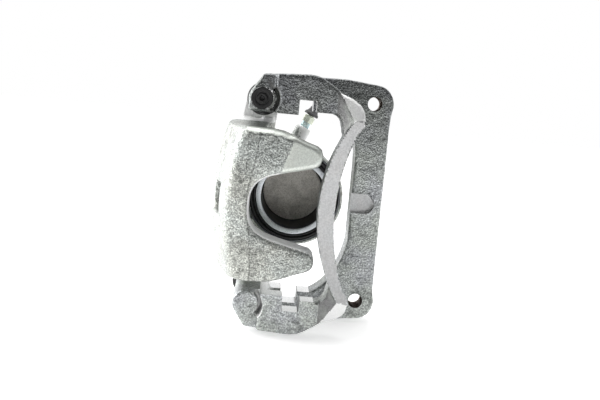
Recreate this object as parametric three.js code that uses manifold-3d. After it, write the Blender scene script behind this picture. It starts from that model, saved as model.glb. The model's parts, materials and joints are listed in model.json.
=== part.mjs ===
// Floating single-piston disc brake caliper with its anchor bracket.
//
// Frame, in millimetres: the origin lies midway between the two mounting holes, on the bracket's
// inboard mounting face. +X points to the wheel hub, +Y points inboard along the hub axis, and
// +Z points along the line of the mounting holes. Outlines are drawn in X and Z and run along Y.
import * as THREE from 'three';
import { mergeVertices } from 'three/addons/utils/BufferGeometryUtils.js';
import Module from 'manifold-3d';

const wasm = await Module();
wasm.setup();

// ---------------------------------------------------------------- driving dimensions
// Disc that the caliper straddles
const DISC_RADIUS = 140;
const DISC_RIM_X = -72;              // the disc's rim on the centre line, from the mounting holes
const DISC_GAP = 34;                 // from the bracket's plate to its outboard arms
const DISC_EDGE_CLEARANCE = 4;       // bracket to the disc's rim

// Anchor bracket
const BOLT_SPACING = 140;
const BOLT_HOLE_RADIUS = 5.2;        // tapping size of an M12 hole
const EAR_RADIUS = 13.5;
const PLATE_THICKNESS = 18;
const PLATE_EDGE = 12;               // bolt line to the plate's hub side edge
const ARM_THICKNESS = 14;
const ARM_RISE = 23.5;               // arm height outside its shoulders
const TIE_BAR_PROUD = 11;            // tie bar front, outboard of the arms
const TIE_BAR_DEPTH = 19;
const TIE_BAR_WIDTH = 10.5;
const TIE_BAR_BOW = 17.5;
const TIE_BAR_END_X = -19;           // tie bar's rim side edge where it meets the arms
const TIE_BAR_KINK_DROP = 3.5;       // kink below the arm's shoulder
const RELIEF_WIDTH = 14;             // machined relief across the plate
const RELIEF_DEPTH = 5;
const RELIEF_END_X = 6.5;

// Pad slots, milled through the plate and through the outboard arms
const SLOT_HALF_SPAN = 68.4;         // caliper centre to a slot's floor
const SLOT_WIDTH = 11.3;
const SLOT_OFFSET = 2;               // slot centre, hub side of the piston axis
const SLOT_DEPTH_RIM_SIDE = 9.9;
const SLOT_DEPTH_HUB_SIDE = 7.3;
const LOWER_PLATE_SLOT_DROP = 6.6;   // the plate's lower slot lies further out than the arms' slots

// Guide pins
const PIN_X = -77.3;
const PIN_INSET = 1.4;               // pin axis, inside the level of the slots' floors
const PIN_RADIUS = 5.9;
const PIN_CLEARANCE = 0.4;           // pin to its bore
const OUTBOARD_TRAVEL = 6;           // slide from rest until the pins are near their bores' ends
const PIN_TIP_GAP = 0.6;
const PIN_HEX_RADIUS = 9.2;
const PIN_HEX_LENGTH = 4.7;
const PIN_THREAD_RADIUS = 4;
const PIN_THREAD_DEPTH = 26;
const BOSS_WALL = 2.7;               // round the pin's bore
const BORE_END_WALL = 6;             // closed end of the lower bore, and length of the upper bore's plug
const BORE_CHAMFER = 0.9;
const BOSS_SETBACK = 6;              // boss end, inboard of the arm's face
const BOSS_GROOVE_WIDTH = 3;
const BOSS_GROOVE_DEPTH = 9;
const SPIGOT_WALL = 2.3;             // round the pin's bore
const SPIGOT_LENGTH = 5;
const BUSHING_WALL = 1.4;
const BUSHING_LENGTH = 13;
const BUSHING_SETBACK = 2;           // from the pin's tip
const PIN_BOOT_CREST = 3.6;          // bellows' crests, over the spigot
const PIN_BOOT_VALLEY = 0.9;
const PIN_BOOT_START = 0.4;
const BOLT_SHANK_RADIUS = 3.7;
const BOLT_HEX_RADIUS = 7.5;
const BOLT_HEX_HEIGHT = 6;
const BOLT_FLANGE_RADIUS = 9;
const BOLT_FLANGE_THICKNESS = 2;

// Piston and cylinder
const PISTON_X = -50;
const PISTON_RADIUS = 27;
const PISTON_LENGTH = 45;
const PISTON_WALL = 3.6;
const PISTON_BASE = 6.5;
const PISTON_PROUD = 2;              // rim, outboard of the cylinder's face
const PISTON_CLEARANCE = 0.3;
const BOTTOM_CLEARANCE = 6;
const CYLINDER_WALL = 8.2;
const CYLINDER_FACE_INSET = 10;      // cylinder's face, inboard of the plate's outboard face
const CYLINDER_END = 9;
const CYLINDER_TO_PLATE = 4.5;
const SEAL_HEIGHT = 3;
const SEAL_WIDTH = 3.6;
const SEAL_INSET = 12;               // seal groove, from the cylinder's face
const BOOT_GROOVE_DEPTH = 1.8;       // round the piston
const BOOT_GROOVE_WIDTH = 2.6;
const BOOT_GROOVE_BACK = 1.4;        // groove's inboard side, from the pocket's floor
const RETAINER_THICKNESS = 1;
const RETAINER_WIDTH = 1.5;
const BOOT_POCKET_WIDTH = 6.1;
const BOOT_POCKET_DEPTH = 4.8;
const BOOT_WALL = 1.3;
const BOOT_ROOM = 4;                 // pocket's sweep, outboard of the cylinder's face

// Bridge and fingers
const BRIDGE_CLEARANCE = 8;          // bridge to the disc's rim
const BRIDGE_THICKNESS_FRONT = 16;
const BRIDGE_THICKNESS_BACK = 26.5;
const BRIDGE_SIDE_GAP = 6.5;         // bridge's side at its inboard end, inside the rim side shoulders
const BRIDGE_DRAFT = 3.2;            // narrower by this much on each side at the fingers
const BRIDGE_FRONT_SLOPE = 4;        // fall of the front face from the finger roots to the rim
const BRIDGE_WINDOW_HALF_WIDTH = 9.5;
const FINGER_THICKNESS = 18;
const FINGER_BEHIND_ARM = 8;         // pad side of the fingers, outboard of the arms' disc side
const FINGER_REACH = 14.5;           // finger tips, hub side of the piston axis
const FINGER_OUTER_INSET = 12;       // fingers' outer edges near the tips, inside the bridge's sides
const FINGER_WIDTH = 14.5;           // between a finger's edges, near its tip
const LUG_RADIUS = 12;
const LUG_THICKNESS = 12;
const PIN_HEAD_GAP = 9;              // bracket spigot to the pin's hexagon
const FIT_GAP = 0.3;

// Bleeder and hose port
const BLEEDER_TILT = THREE.MathUtils.degToRad(25);
const BLEEDER_OFFSET = 16.7;         // bleeder axis to cylinder axis
const BLEEDER_HEIGHT = 46.5;         // boss end, along the bleeder axis
const BLEEDER_BACK = 36;             // bleeder axis, inboard of the cylinder's face
const BLEEDER_BOSS_RADIUS = 6.3;
const BLEEDER_THREAD_RADIUS = 3.5;
const BLEEDER_NECK = 3.5;            // boss end to the hexagon
const BLEEDER_HEX_RADIUS = 4.5;
const BLEEDER_HEX_HEIGHT = 5;
const BLEEDER_NIPPLE_LENGTH = 7;
const BLEEDER_DRILLING_RADIUS = 0.9;
const BLEEDER_PASSAGE_RADIUS = 1.6;
const BLEEDER_NIPPLE_RADIUS = 2.9;
const BLEEDER_CAP_RADIUS = 5.5;
const BLEEDER_CAP_LENGTH = 11.4;
const BLEEDER_CAP_GAP = 1;           // hexagon to the cap's skirt
const PORT_RADIUS = 4.5;
const PORT_PASSAGE_RADIUS = 2.2;
const PORT_BOSS_RADIUS = 10;
const PORT_BOSS_HEIGHT = 6;
const PORT_X_OFFSET = -8;
const PORT_Z_OFFSET = -12;

// ---------------------------------------------------------------- derived places
const hubX = DISC_RIM_X + DISC_RADIUS;
const plateFaceY = -PLATE_THICKNESS;
const armInnerY = plateFaceY - DISC_GAP;
const armFaceY = armInnerY - ARM_THICKNESS;
const bossEndY = armFaceY + BOSS_SETBACK;
const tieBarFaceY = armFaceY - TIE_BAR_PROUD;
const boltZ = BOLT_SPACING / 2;
const slotX = PISTON_X + SLOT_OFFSET;
const rimShoulderZ = SLOT_HALF_SPAN - SLOT_DEPTH_RIM_SIDE;
const hubShoulderZ = SLOT_HALF_SPAN - SLOT_DEPTH_HUB_SIDE;
const armTopZ = hubShoulderZ + ARM_RISE;
const kinkZ = hubShoulderZ - TIE_BAR_KINK_DROP;
const bridgeHalfWidth = rimShoulderZ - BRIDGE_SIDE_GAP;
const fingerHalfWidth = bridgeHalfWidth - BRIDGE_DRAFT;
const fingerOuterZ = bridgeHalfWidth - FINGER_OUTER_INSET;
const fingerInnerZ = fingerOuterZ - FINGER_WIDTH;
const cylinderRadius = PISTON_RADIUS + CYLINDER_WALL + PISTON_CLEARANCE;
const boreRadius = PISTON_RADIUS + PISTON_CLEARANCE;
const plateInnerX = PISTON_X + cylinderRadius + CYLINDER_TO_PLATE;
const cylinderFaceY = plateFaceY + CYLINDER_FACE_INSET;
const pistonRimY = cylinderFaceY - PISTON_PROUD;
const boreBottomY = pistonRimY + PISTON_LENGTH + BOTTOM_CLEARANCE;
const cylinderEndY = boreBottomY + CYLINDER_END;
const fingerPadY = armInnerY - FINGER_BEHIND_ARM;
const fingerFaceY = fingerPadY - FINGER_THICKNESS;
const pinZ = SLOT_HALF_SPAN - PIN_INSET;
const pinBoreRadius = PIN_RADIUS + PIN_CLEARANCE;
const bossRadius = pinBoreRadius + BOSS_WALL;
const spigotRadius = pinBoreRadius + SPIGOT_WALL;
const bootCrestRadius = spigotRadius + PIN_BOOT_CREST;
const ribTopZ = pinZ - bootCrestRadius - FIT_GAP;
const boreEndY = bossEndY + BORE_END_WALL;
const pinTipY = boreEndY + OUTBOARD_TRAVEL + PIN_TIP_GAP;
const pinHexY = SPIGOT_LENGTH + PIN_HEAD_GAP;
const lugFaceY = pinHexY + PIN_HEX_LENGTH + FIT_GAP;
const lugBackY = lugFaceY + LUG_THICKNESS;
const bridgeInnerRadius = DISC_RADIUS + BRIDGE_CLEARANCE;
const sealY = cylinderFaceY + SEAL_INSET;
const bleederY = cylinderFaceY + BLEEDER_BACK;

// ---------------------------------------------------------------- shape helpers
// A closed outline from points [x, z]; side is -1 to mirror it across Z = 0.
function outline(points, side = 1) {
  return new THREE.Shape(points.map(([x, z]) => new THREE.Vector2(x, z * side)));
}

// Points on an arc in X and Z, from one angle to the other, in degrees.
function arc(cx, cz, radius, fromDegrees, toDegrees, steps) {
  const points = [];
  for (let i = 0; i <= steps; i += 1) {
    const angle = THREE.MathUtils.degToRad(fromDegrees + ((toDegrees - fromDegrees) * i) / steps);
    points.push([cx + radius * Math.cos(angle), cz + radius * Math.sin(angle)]);
  }
  return points;
}

// An outline in X and Z, run along Y from y0 to y1.
function prism(shape, y0, y1, curveSegments = 10) {
  const geometry = new THREE.ExtrudeGeometry(shape, { depth: y1 - y0, bevelEnabled: false, curveSegments });
  return geometry.rotateX(Math.PI / 2).translate(0, y1, 0);
}

// A rod along Y; sides is 6 for a hexagon.
function rod(x, z, radius, y0, y1, sides = 32) {
  return new THREE.CylinderGeometry(radius, radius, y1 - y0, sides).translate(x, (y0 + y1) / 2, z);
}

function box(x0, x1, y0, y1, z0, z1) {
  const geometry = new THREE.BoxGeometry(x1 - x0, y1 - y0, z1 - z0);
  return geometry.translate((x0 + x1) / 2, (y0 + y1) / 2, (z0 + z1) / 2);
}

// A turned body about an axis parallel to Y; the profile [radius, y] closes on itself or on the axis.
function turned(profile, x = 0, z = 0, segments = 48) {
  const points = profile.map(([radius, y]) => new THREE.Vector2(radius, y));
  if (profile[0][0] > 0) {
    points.push(points[0].clone());
  }
  return new THREE.LatheGeometry(points, segments).translate(x, 0, z);
}

// Turned rings are drawn clockwise or anticlockwise alike, so a body that comes out reversed is turned over.
function faceOutwards(geometry) {
  const merged = geometry.index ? geometry.clone() : mergeVertices(geometry.clone());
  const position = merged.attributes.position;
  const index = merged.index.array;
  const corners = [new THREE.Vector3(), new THREE.Vector3(), new THREE.Vector3()];
  let volume = 0;
  for (let i = 0; i < index.length; i += 3) {
    corners.forEach((corner, k) => corner.fromBufferAttribute(position, index[i + k]));
    volume += corners[0].dot(corners[1].clone().cross(corners[2]));
  }
  if (volume < 0) {
    for (let i = 0; i < index.length; i += 3) {
      [index[i], index[i + 1]] = [index[i + 1], index[i]];
    }
  }
  return merged;
}

// A closed geometry as a manifold solid.
function solid(geometry) {
  const bare = geometry.clone();
  bare.deleteAttribute('normal');
  bare.deleteAttribute('uv');
  const merged = faceOutwards(mergeVertices(bare, 1e-4));
  const vertProperties = new Float32Array(merged.attributes.position.array);
  const triVerts = new Uint32Array(merged.index.array);
  return new wasm.Manifold(new wasm.Mesh({ numProp: 3, vertProperties, triVerts }));
}

function join(geometries) {
  return geometries.map(solid).reduce((whole, piece) => whole.add(piece));
}

function cut(whole, geometries) {
  return geometries.map(solid).reduce((rest, piece) => rest.subtract(piece), whole);
}

// A manifold solid back as a geometry with flat faces.
function toGeometry(manifold) {
  const mesh = manifold.getMesh();
  const geometry = new THREE.BufferGeometry();
  geometry.setAttribute('position', new THREE.BufferAttribute(new Float32Array(mesh.vertProperties), 3));
  geometry.setIndex(new THREE.BufferAttribute(new Uint32Array(mesh.triVerts), 1));
  return geometry;
}

// ---------------------------------------------------------------- materials
const finishes = {
  castBracket: { color: 0xa9acad, roughness: 0.55, metalness: 0.85 },
  castHousing: { color: 0xc3c6c2, roughness: 0.55, metalness: 0.8 },
  plunger: { color: 0xb9bdc0, roughness: 0.3, metalness: 0.95 },
  zinc: { color: 0xc6ccc4, roughness: 0.35, metalness: 0.95 },
  springSteel: { color: 0x55585a, roughness: 0.4, metalness: 0.9 },
  rubber: { color: 0x17181a, roughness: 0.7, metalness: 0 },
  capRubber: { color: 0x4a4a4c, roughness: 0.75, metalness: 0 },
};

const group = new THREE.Group();

function place(name, geometry, finish) {
  const mesh = new THREE.Mesh(geometry, new THREE.MeshStandardMaterial(finishes[finish]));
  mesh.name = name;
  group.add(mesh);
  return mesh;
}

// ---------------------------------------------------------------- anchor bracket
const slotRimX = slotX - SLOT_WIDTH / 2;
const slotHubX = slotX + SLOT_WIDTH / 2;
const bossRimX = PIN_X - bossRadius;
const bossHubX = PIN_X + bossRadius;

// The stepped inner edge of an arm or of the plate: shoulder, slot, shoulder.
function slotEdge(drop) {
  return [
    [bossHubX, rimShoulderZ + drop],
    [slotRimX, rimShoulderZ + drop],
    [slotRimX, SLOT_HALF_SPAN + drop],
    [slotHubX, SLOT_HALF_SPAN + drop],
    [slotHubX, hubShoulderZ + drop * 0.8],
  ];
}

// Half of the inboard plate: its ear, its arm over the pad slot and the barrel opening's edge.
function plateHalf(side) {
  const drop = side > 0 ? 0 : LOWER_PLATE_SLOT_DROP;
  const throat = new THREE.QuadraticBezierCurve(
    new THREE.Vector2(slotHubX + 9, hubShoulderZ + drop * 0.8),
    new THREE.Vector2(plateInnerX - drop * 0.75, hubShoulderZ - drop * 0.75),
    new THREE.Vector2(plateInnerX, hubShoulderZ * 0.45),
  );
  const shape = outline([
    ...slotEdge(drop),
    ...throat.getPoints(8).map((point) => [point.x, point.y]),
    [plateInnerX, 0],
    [PLATE_EDGE, 0],
    [PLATE_EDGE, boltZ - EAR_RADIUS],
    ...arc(0, boltZ, EAR_RADIUS, -20, 75, 8),
    [-20, armTopZ + 0.8],
    [slotX, armTopZ + 0.3],
    [bossHubX, armTopZ - 1.2],
  ], side);
  return prism(shape, plateFaceY, 0);
}

// The guide pin's boss, which carries the arm over the disc's rim. The upper one has a square foot.
function bossBlock(side) {
  const squareFoot = [[bossRimX + 0.6, rimShoulderZ]];
  const roundFoot = arc(PIN_X, pinZ, bossRadius, 250, 200, 5);
  const foot = side > 0 ? squareFoot : roundFoot;
  const shape = outline([
    [bossHubX + 4, rimShoulderZ],
    ...foot,
    ...arc(PIN_X, pinZ, bossRadius, 190, 145, 6),
    [PIN_X, armTopZ - 1.6],
    [bossHubX + 4, armTopZ - 1.2],
  ], side);
  return prism(shape, bossEndY, 0);
}

// The arm's outer edge round the corner, from the tie bar's hub side up to the arm's top.
function cornerEdge() {
  return [
    [TIE_BAR_END_X + 6.5, kinkZ - 3],
    [TIE_BAR_END_X + 7.2, kinkZ + 2],
    [TIE_BAR_END_X + 6.6, kinkZ + 6.5],
    [TIE_BAR_END_X + 4.2, kinkZ + 10.5],
    [TIE_BAR_END_X - 1, kinkZ + 14.2],
    [TIE_BAR_END_X - 7.8, kinkZ + 16.8],
  ];
}

// The inner corner between an arm's hub side shoulder and the tie bar.
function innerCorner() {
  return [
    ...arc(TIE_BAR_END_X - 14, hubShoulderZ - 7, 7, 90, 5, 5),
    [TIE_BAR_END_X - 5.8, kinkZ - 9.5],
  ];
}

// The outboard arm, from the boss to the tie bar's root. Past the disc's rim it runs on into the plate.
function arm(side) {
  const shape = outline([
    ...slotEdge(0),
    ...innerCorner(),
    [TIE_BAR_END_X, kinkZ - 9],
    ...cornerEdge(),
    [TIE_BAR_END_X - 11.6, armTopZ - 7.2],
    [TIE_BAR_END_X - 17.2, armTopZ - 3.6],
    [TIE_BAR_END_X - 22.5, armTopZ - 0.9],
    [TIE_BAR_END_X - 28, armTopZ + 0.1],
    [slotRimX - 3, armTopZ - 0.5],
    [bossHubX - 1, armTopZ - 1.2],
    [bossHubX - 1, pinZ],
  ], side);
  return cut(solid(prism(shape, armFaceY, plateFaceY + 1)), [discSweep(plateFaceY + 2)]);
}

// The bowed tie bar; its rim side edge and hub side edge are arcs of their own radius.
function tieBar() {
  const bowRadius = (kinkZ ** 2 + TIE_BAR_BOW ** 2) / (2 * TIE_BAR_BOW);
  const spread = THREE.MathUtils.radToDeg(Math.asin(kinkZ / bowRadius));
  const centreX = TIE_BAR_END_X - TIE_BAR_BOW + bowRadius;
  const hubBow = TIE_BAR_BOW - 4;
  const hubRadius = (kinkZ ** 2 + hubBow ** 2) / (2 * hubBow);
  const hubSpread = THREE.MathUtils.radToDeg(Math.asin(kinkZ / hubRadius));
  const hubCentreX = TIE_BAR_END_X - TIE_BAR_BOW + TIE_BAR_WIDTH + hubRadius;
  const shape = outline([
    ...arc(centreX, 0, bowRadius, 180 - spread, 180 + spread, 18),
    ...arc(hubCentreX, 0, hubRadius, 180 + hubSpread, 180 - hubSpread, 18),
  ]);
  return prism(shape, tieBarFaceY, tieBarFaceY + TIE_BAR_DEPTH);
}

// The corner block that joins the tie bar to an arm, still as proud as the tie bar.
function cornerBlock(side) {
  const shape = outline([
    [TIE_BAR_END_X - 10.5, hubShoulderZ + 0.5],
    ...innerCorner(),
    [TIE_BAR_END_X + 2, kinkZ - 9],
    ...cornerEdge(),
    [TIE_BAR_END_X - 10.5, kinkZ + 19],
  ], side);
  return prism(shape, tieBarFaceY, armInnerY);
}

// A block that planes off whatever lies outboard of three points.
function planer(a, b, c) {
  const [origin, along, across] = [a, b, c].map((point) => new THREE.Vector3(...point));
  along.sub(origin).normalize();
  const normal = along.clone().cross(across.sub(origin)).normalize();
  if (normal.y > 0) {
    normal.negate();
  }
  const geometry = new THREE.BoxGeometry(armTopZ, armTopZ, armTopZ).translate(0, 0, armTopZ / 2);
  const frame = new THREE.Matrix4().makeBasis(along, normal.clone().cross(along), normal);
  return geometry.applyMatrix4(frame).translate(origin.x, origin.y, origin.z);
}

// The tie bar's ends slope down to the arm's face: one slope follows the bar, the other faces the rim.
function tieBarEnd(side) {
  const kink = [TIE_BAR_END_X, tieBarFaceY, kinkZ * side];
  const fade = [TIE_BAR_END_X - 10.4, armFaceY, (kinkZ + 19) * side];
  const hubKink = [TIE_BAR_END_X + 6.5, tieBarFaceY, (kinkZ + 1) * side];
  const armFoot = [TIE_BAR_END_X - 10.5, armFaceY, kinkZ * side];
  return cut(solid(cornerBlock(side)), [planer(kink, fade, hubKink), planer(kink, fade, armFoot)]);
}

// A groove that frees the boss's end from the arm.
function bossGroove(side) {
  const inner = bossRadius - 0.7;
  const outer = inner + BOSS_GROOVE_WIDTH;
  const shape = outline([
    ...arc(PIN_X, pinZ, outer, 42, -52, 10),
    ...arc(PIN_X, pinZ, inner, -52, 42, 10),
  ], side);
  return prism(shape, armFaceY - 1, bossEndY + BOSS_GROOVE_DEPTH);
}

// Everything that the disc sweeps, with its running clearance.
function discSweep(endY) {
  return rod(hubX, 0, DISC_RADIUS + DISC_EDGE_CLEARANCE, armInnerY, endY, 150);
}

function bracket() {
  const pieces = [tieBar()];
  const cuts = [discSweep(plateFaceY)];
  for (const side of [1, -1]) {
    pieces.push(plateHalf(side), bossBlock(side));
    pieces.push(rod(PIN_X, side * pinZ, bossRadius, bossEndY, 0, 40));
    pieces.push(rod(PIN_X, side * pinZ, spigotRadius, -1, SPIGOT_LENGTH, 40));
    cuts.push(bossGroove(side));
    cuts.push(rod(0, side * boltZ, BOLT_HOLE_RADIUS, plateFaceY - 1, 1, 36));
  }
  const reliefEnd = RELIEF_END_X - RELIEF_WIDTH / 2;
  const reliefFaceY = plateFaceY + RELIEF_DEPTH;
  const reliefHalf = RELIEF_WIDTH / 2;
  cuts.push(box(plateInnerX - 1, reliefEnd, plateFaceY - 1, reliefFaceY, -reliefHalf, reliefHalf));
  cuts.push(rod(reliefEnd, 0, reliefHalf, plateFaceY - 1, reliefFaceY, 32));
  cuts.push(rod(PIN_X, pinZ, pinBoreRadius, bossEndY - 1, SPIGOT_LENGTH + 1, 32));
  cuts.push(rod(PIN_X, -pinZ, pinBoreRadius, boreEndY, SPIGOT_LENGTH + 1, 32));
  cuts.push(turned([
    [0, bossEndY - 1],
    [pinBoreRadius + BORE_CHAMFER + 1, bossEndY - 1],
    [pinBoreRadius, bossEndY + BORE_CHAMFER],
    [0, bossEndY + BORE_CHAMFER],
  ], PIN_X, pinZ, 32));
  const whole = join(pieces).add(arm(1)).add(arm(-1)).add(tieBarEnd(1)).add(tieBarEnd(-1));
  return toGeometry(cut(whole, cuts));
}

place('carrier_bracket', bracket(), 'castBracket');

// ---------------------------------------------------------------- caliper housing
// The bridge over the disc's rim, turned about the hub axis.
function bridge() {
  const inner = bridgeInnerRadius;
  const front = inner + BRIDGE_THICKNESS_FRONT;
  const back = inner + BRIDGE_THICKNESS_BACK;
  const backY = lugBackY;
  const ring = turned([
    [inner, fingerFaceY],
    [front - 4.5, fingerFaceY],
    [front - 1, fingerFaceY + 4],
    [front + 0.8, fingerFaceY + 8.5],
    [back - 3, armInnerY + 10],
    [back - 0.3, armInnerY + 22],
    [back, armInnerY + 36],
    [back - 0.5, backY - 16],
    [back - 6, backY - 5],
    [back - 12, backY],
    [inner, backY],
  ], hubX, 0, 144);
  return solid(ring).intersect(solid(bridgeWidth())).subtract(solid(frontSlope()));
}

// The room between the bridge's two sides, which draw in towards the fingers.
function bridgeWidth() {
  const shape = new THREE.Shape([
    new THREE.Vector2(fingerFaceY, -fingerHalfWidth),
    new THREE.Vector2(lugBackY, -bridgeHalfWidth),
    new THREE.Vector2(lugBackY, bridgeHalfWidth),
    new THREE.Vector2(fingerFaceY, fingerHalfWidth),
  ]);
  const reach = DISC_RADIUS;
  const geometry = new THREE.ExtrudeGeometry(shape, { depth: reach, bevelEnabled: false });
  geometry.applyMatrix4(new THREE.Matrix4().set(0, 0, 1, 0, 1, 0, 0, 0, 0, 1, 0, 0, 0, 0, 0, 1));
  return geometry.translate(PISTON_X - reach, 0, 0);
}

// The slope of the front face, from the fingers' roots out to the bridge's rim side.
function frontSlope() {
  const rootX = hubX - bridgeInnerRadius + 2;
  const run = BRIDGE_THICKNESS_FRONT + 10;
  const shape = new THREE.Shape([
    new THREE.Vector2(rootX, fingerFaceY),
    new THREE.Vector2(rootX, fingerFaceY - 5),
    new THREE.Vector2(rootX - run, fingerFaceY - 5),
    new THREE.Vector2(rootX - run, fingerFaceY + (BRIDGE_FRONT_SLOPE * run) / BRIDGE_THICKNESS_FRONT),
  ]);
  const length = 4 * bridgeHalfWidth;
  const slope = new THREE.ExtrudeGeometry(shape, { depth: length, bevelEnabled: false });
  return slope.translate(0, 0, -length / 2);
}

// Both fingers in one plate, with the U-shaped window between them.
function fingers() {
  const tip = PISTON_X + FINGER_REACH;
  const root = hubX - bridgeInnerRadius;
  const half = [
    [root - 0.5, 0],
    [root, fingerInnerZ * 0.196],
    [root + 1.2, fingerInnerZ * 0.392],
    [root + 4.5, fingerInnerZ * 0.588],
    [root + 10, fingerInnerZ * 0.7255],
    [root + 20, fingerInnerZ * 0.843],
    [tip - 14, fingerInnerZ - 1.5],
    [tip - 8, fingerInnerZ],
    [tip - 4, fingerInnerZ + 0.8],
    [tip - 1.3, fingerInnerZ + 3.2],
    [tip, fingerInnerZ + 8],
    [tip - 0.8, fingerOuterZ - 2.5],
    [tip - 3.5, fingerOuterZ - 0.3],
    [tip - 11, fingerOuterZ + 2.1],
    [tip - 19, fingerOuterZ + 5.4],
    [tip - 26, fingerHalfWidth - 1],
    [tip - 33, fingerHalfWidth],
    [root - 2, fingerHalfWidth],
  ];
  const mirrored = half.slice(1).reverse().map(([x, z]) => [x, -z]);
  return prism(outline([...half, ...mirrored]), fingerFaceY, fingerPadY);
}

// The cylinder's outside, turned about the piston axis.
function cylinderBody() {
  return turned([
    [0, cylinderFaceY],
    [cylinderRadius - 1, cylinderFaceY],
    [cylinderRadius, cylinderFaceY + 1],
    [cylinderRadius, cylinderEndY - 12],
    [cylinderRadius - 2, cylinderEndY - 5],
    [cylinderRadius - 8, cylinderEndY],
    [0, cylinderEndY],
  ], PISTON_X, 0, 64);
}

// The web that spreads the cylinder out to the bridge.
function bridgeWeb() {
  const sideX = hubX - bridgeInnerRadius;
  const half = [
    [PISTON_X - 8, cylinderRadius - 3],
    [sideX + 15, cylinderRadius - 1],
    [sideX + 12.5, bridgeHalfWidth - 8],
    [sideX + 11.5, ribTopZ],
    [sideX + 3, ribTopZ],
    [sideX + 3, bridgeHalfWidth],
    [sideX - 14, bridgeHalfWidth],
  ];
  const mirrored = half.slice().reverse().map(([x, z]) => [x, -z]);
  return prism(outline([...half, ...mirrored]), cylinderFaceY + 4, lugBackY - 1);
}

// A lug out to a guide pin, with its bolt hole's axis on the pin.
function lug(side) {
  const inner = cylinderRadius - 4;
  const shape = outline([
    [PIN_X + 15, inner],
    [PIN_X + 9.8, bridgeHalfWidth - 6],
    [PIN_X + 10.5, bridgeHalfWidth + 4],
    ...arc(PIN_X, pinZ, LUG_RADIUS, 0, 180, 16),
    [PIN_X - 14, bridgeHalfWidth + 2],
    [PIN_X - 17, bridgeHalfWidth - 8],
    [PIN_X - 17, inner],
  ], side);
  return prism(shape, lugFaceY, lugBackY);
}

// The cylinder's bore with its seal groove and the pocket for the dust boot.
function cylinderBore() {
  const pocketRadius = boreRadius + BOOT_POCKET_WIDTH;
  const grooveRadius = boreRadius + SEAL_HEIGHT + FIT_GAP;
  return turned([
    [0, cylinderFaceY - BOOT_ROOM],
    [pocketRadius, cylinderFaceY - BOOT_ROOM],
    [pocketRadius, cylinderFaceY + BOOT_POCKET_DEPTH],
    [boreRadius, cylinderFaceY + BOOT_POCKET_DEPTH],
    [boreRadius, sealY],
    [grooveRadius, sealY],
    [grooveRadius, sealY + SEAL_WIDTH + 2 * FIT_GAP],
    [boreRadius, sealY + SEAL_WIDTH + 2 * FIT_GAP],
    [boreRadius, boreBottomY - 1.5],
    [boreRadius - 1.5, boreBottomY],
    [0, boreBottomY],
  ], PISTON_X, 0, 64);
}

// Anything turned about the bleeder's axis: its profile's heights count from the cylinder's axis.
const bleederDirection = new THREE.Vector3(Math.sin(BLEEDER_TILT), 0, Math.cos(BLEEDER_TILT));
const bleederFoot = new THREE.Vector3(PISTON_X - BLEEDER_OFFSET * Math.cos(BLEEDER_TILT), bleederY,
  BLEEDER_OFFSET * Math.sin(BLEEDER_TILT));
function onBleederAxis(geometry) {
  const turn = new THREE.Quaternion().setFromUnitVectors(new THREE.Vector3(0, 1, 0), bleederDirection);
  return geometry.applyQuaternion(turn).translate(bleederFoot.x, bleederFoot.y, bleederFoot.z);
}

const portX = PISTON_X + PORT_X_OFFSET;
const portEndY = cylinderEndY + PORT_BOSS_HEIGHT;

function housing() {
  const pieces = [fingers(), cylinderBody(), bridgeWeb(), lug(1), lug(-1)];
  pieces.push(onBleederAxis(rod(0, 0, BLEEDER_BOSS_RADIUS, cylinderRadius - 12, BLEEDER_HEIGHT, 32)));
  pieces.push(rod(portX, PORT_Z_OFFSET, PORT_BOSS_RADIUS, cylinderEndY - 4, portEndY, 40));
  const cuts = [cylinderBore()];
  for (const side of [1, -1]) {
    const boltHole = BOLT_SHANK_RADIUS + 2 * FIT_GAP;
    cuts.push(rod(PIN_X, side * pinZ, boltHole, lugFaceY - 1, lugBackY + 1, 28));
  }
  const windowOuter = hubX - bridgeInnerRadius - BRIDGE_THICKNESS_BACK - 10;
  cuts.push(box(windowOuter, PISTON_X, armInnerY - 2, cylinderFaceY - 4, -BRIDGE_WINDOW_HALF_WIDTH,
    BRIDGE_WINDOW_HALF_WIDTH));
  const bleederHole = BLEEDER_THREAD_RADIUS + FIT_GAP;
  cuts.push(onBleederAxis(rod(0, 0, bleederHole, cylinderRadius - 5, BLEEDER_HEIGHT + 1, 24)));
  const passageFoot = boreRadius - 14;
  cuts.push(onBleederAxis(rod(0, 0, BLEEDER_PASSAGE_RADIUS, passageFoot, cylinderRadius - 4, 12)));
  cuts.push(rod(portX, PORT_Z_OFFSET, PORT_RADIUS, boreBottomY + 3, portEndY + 1, 28));
  cuts.push(rod(portX, PORT_Z_OFFSET, PORT_PASSAGE_RADIUS, boreBottomY - 1, boreBottomY + 4, 16));
  return toGeometry(cut(join(pieces).add(bridge()), cuts));
}

place('caliper_housing', housing(), 'castHousing');

// ---------------------------------------------------------------- piston, seal and dust boot
const bootY = cylinderFaceY + BOOT_POCKET_DEPTH;
const bootGrooveY = bootY - BOOT_GROOVE_BACK - BOOT_GROOVE_WIDTH;

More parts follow.
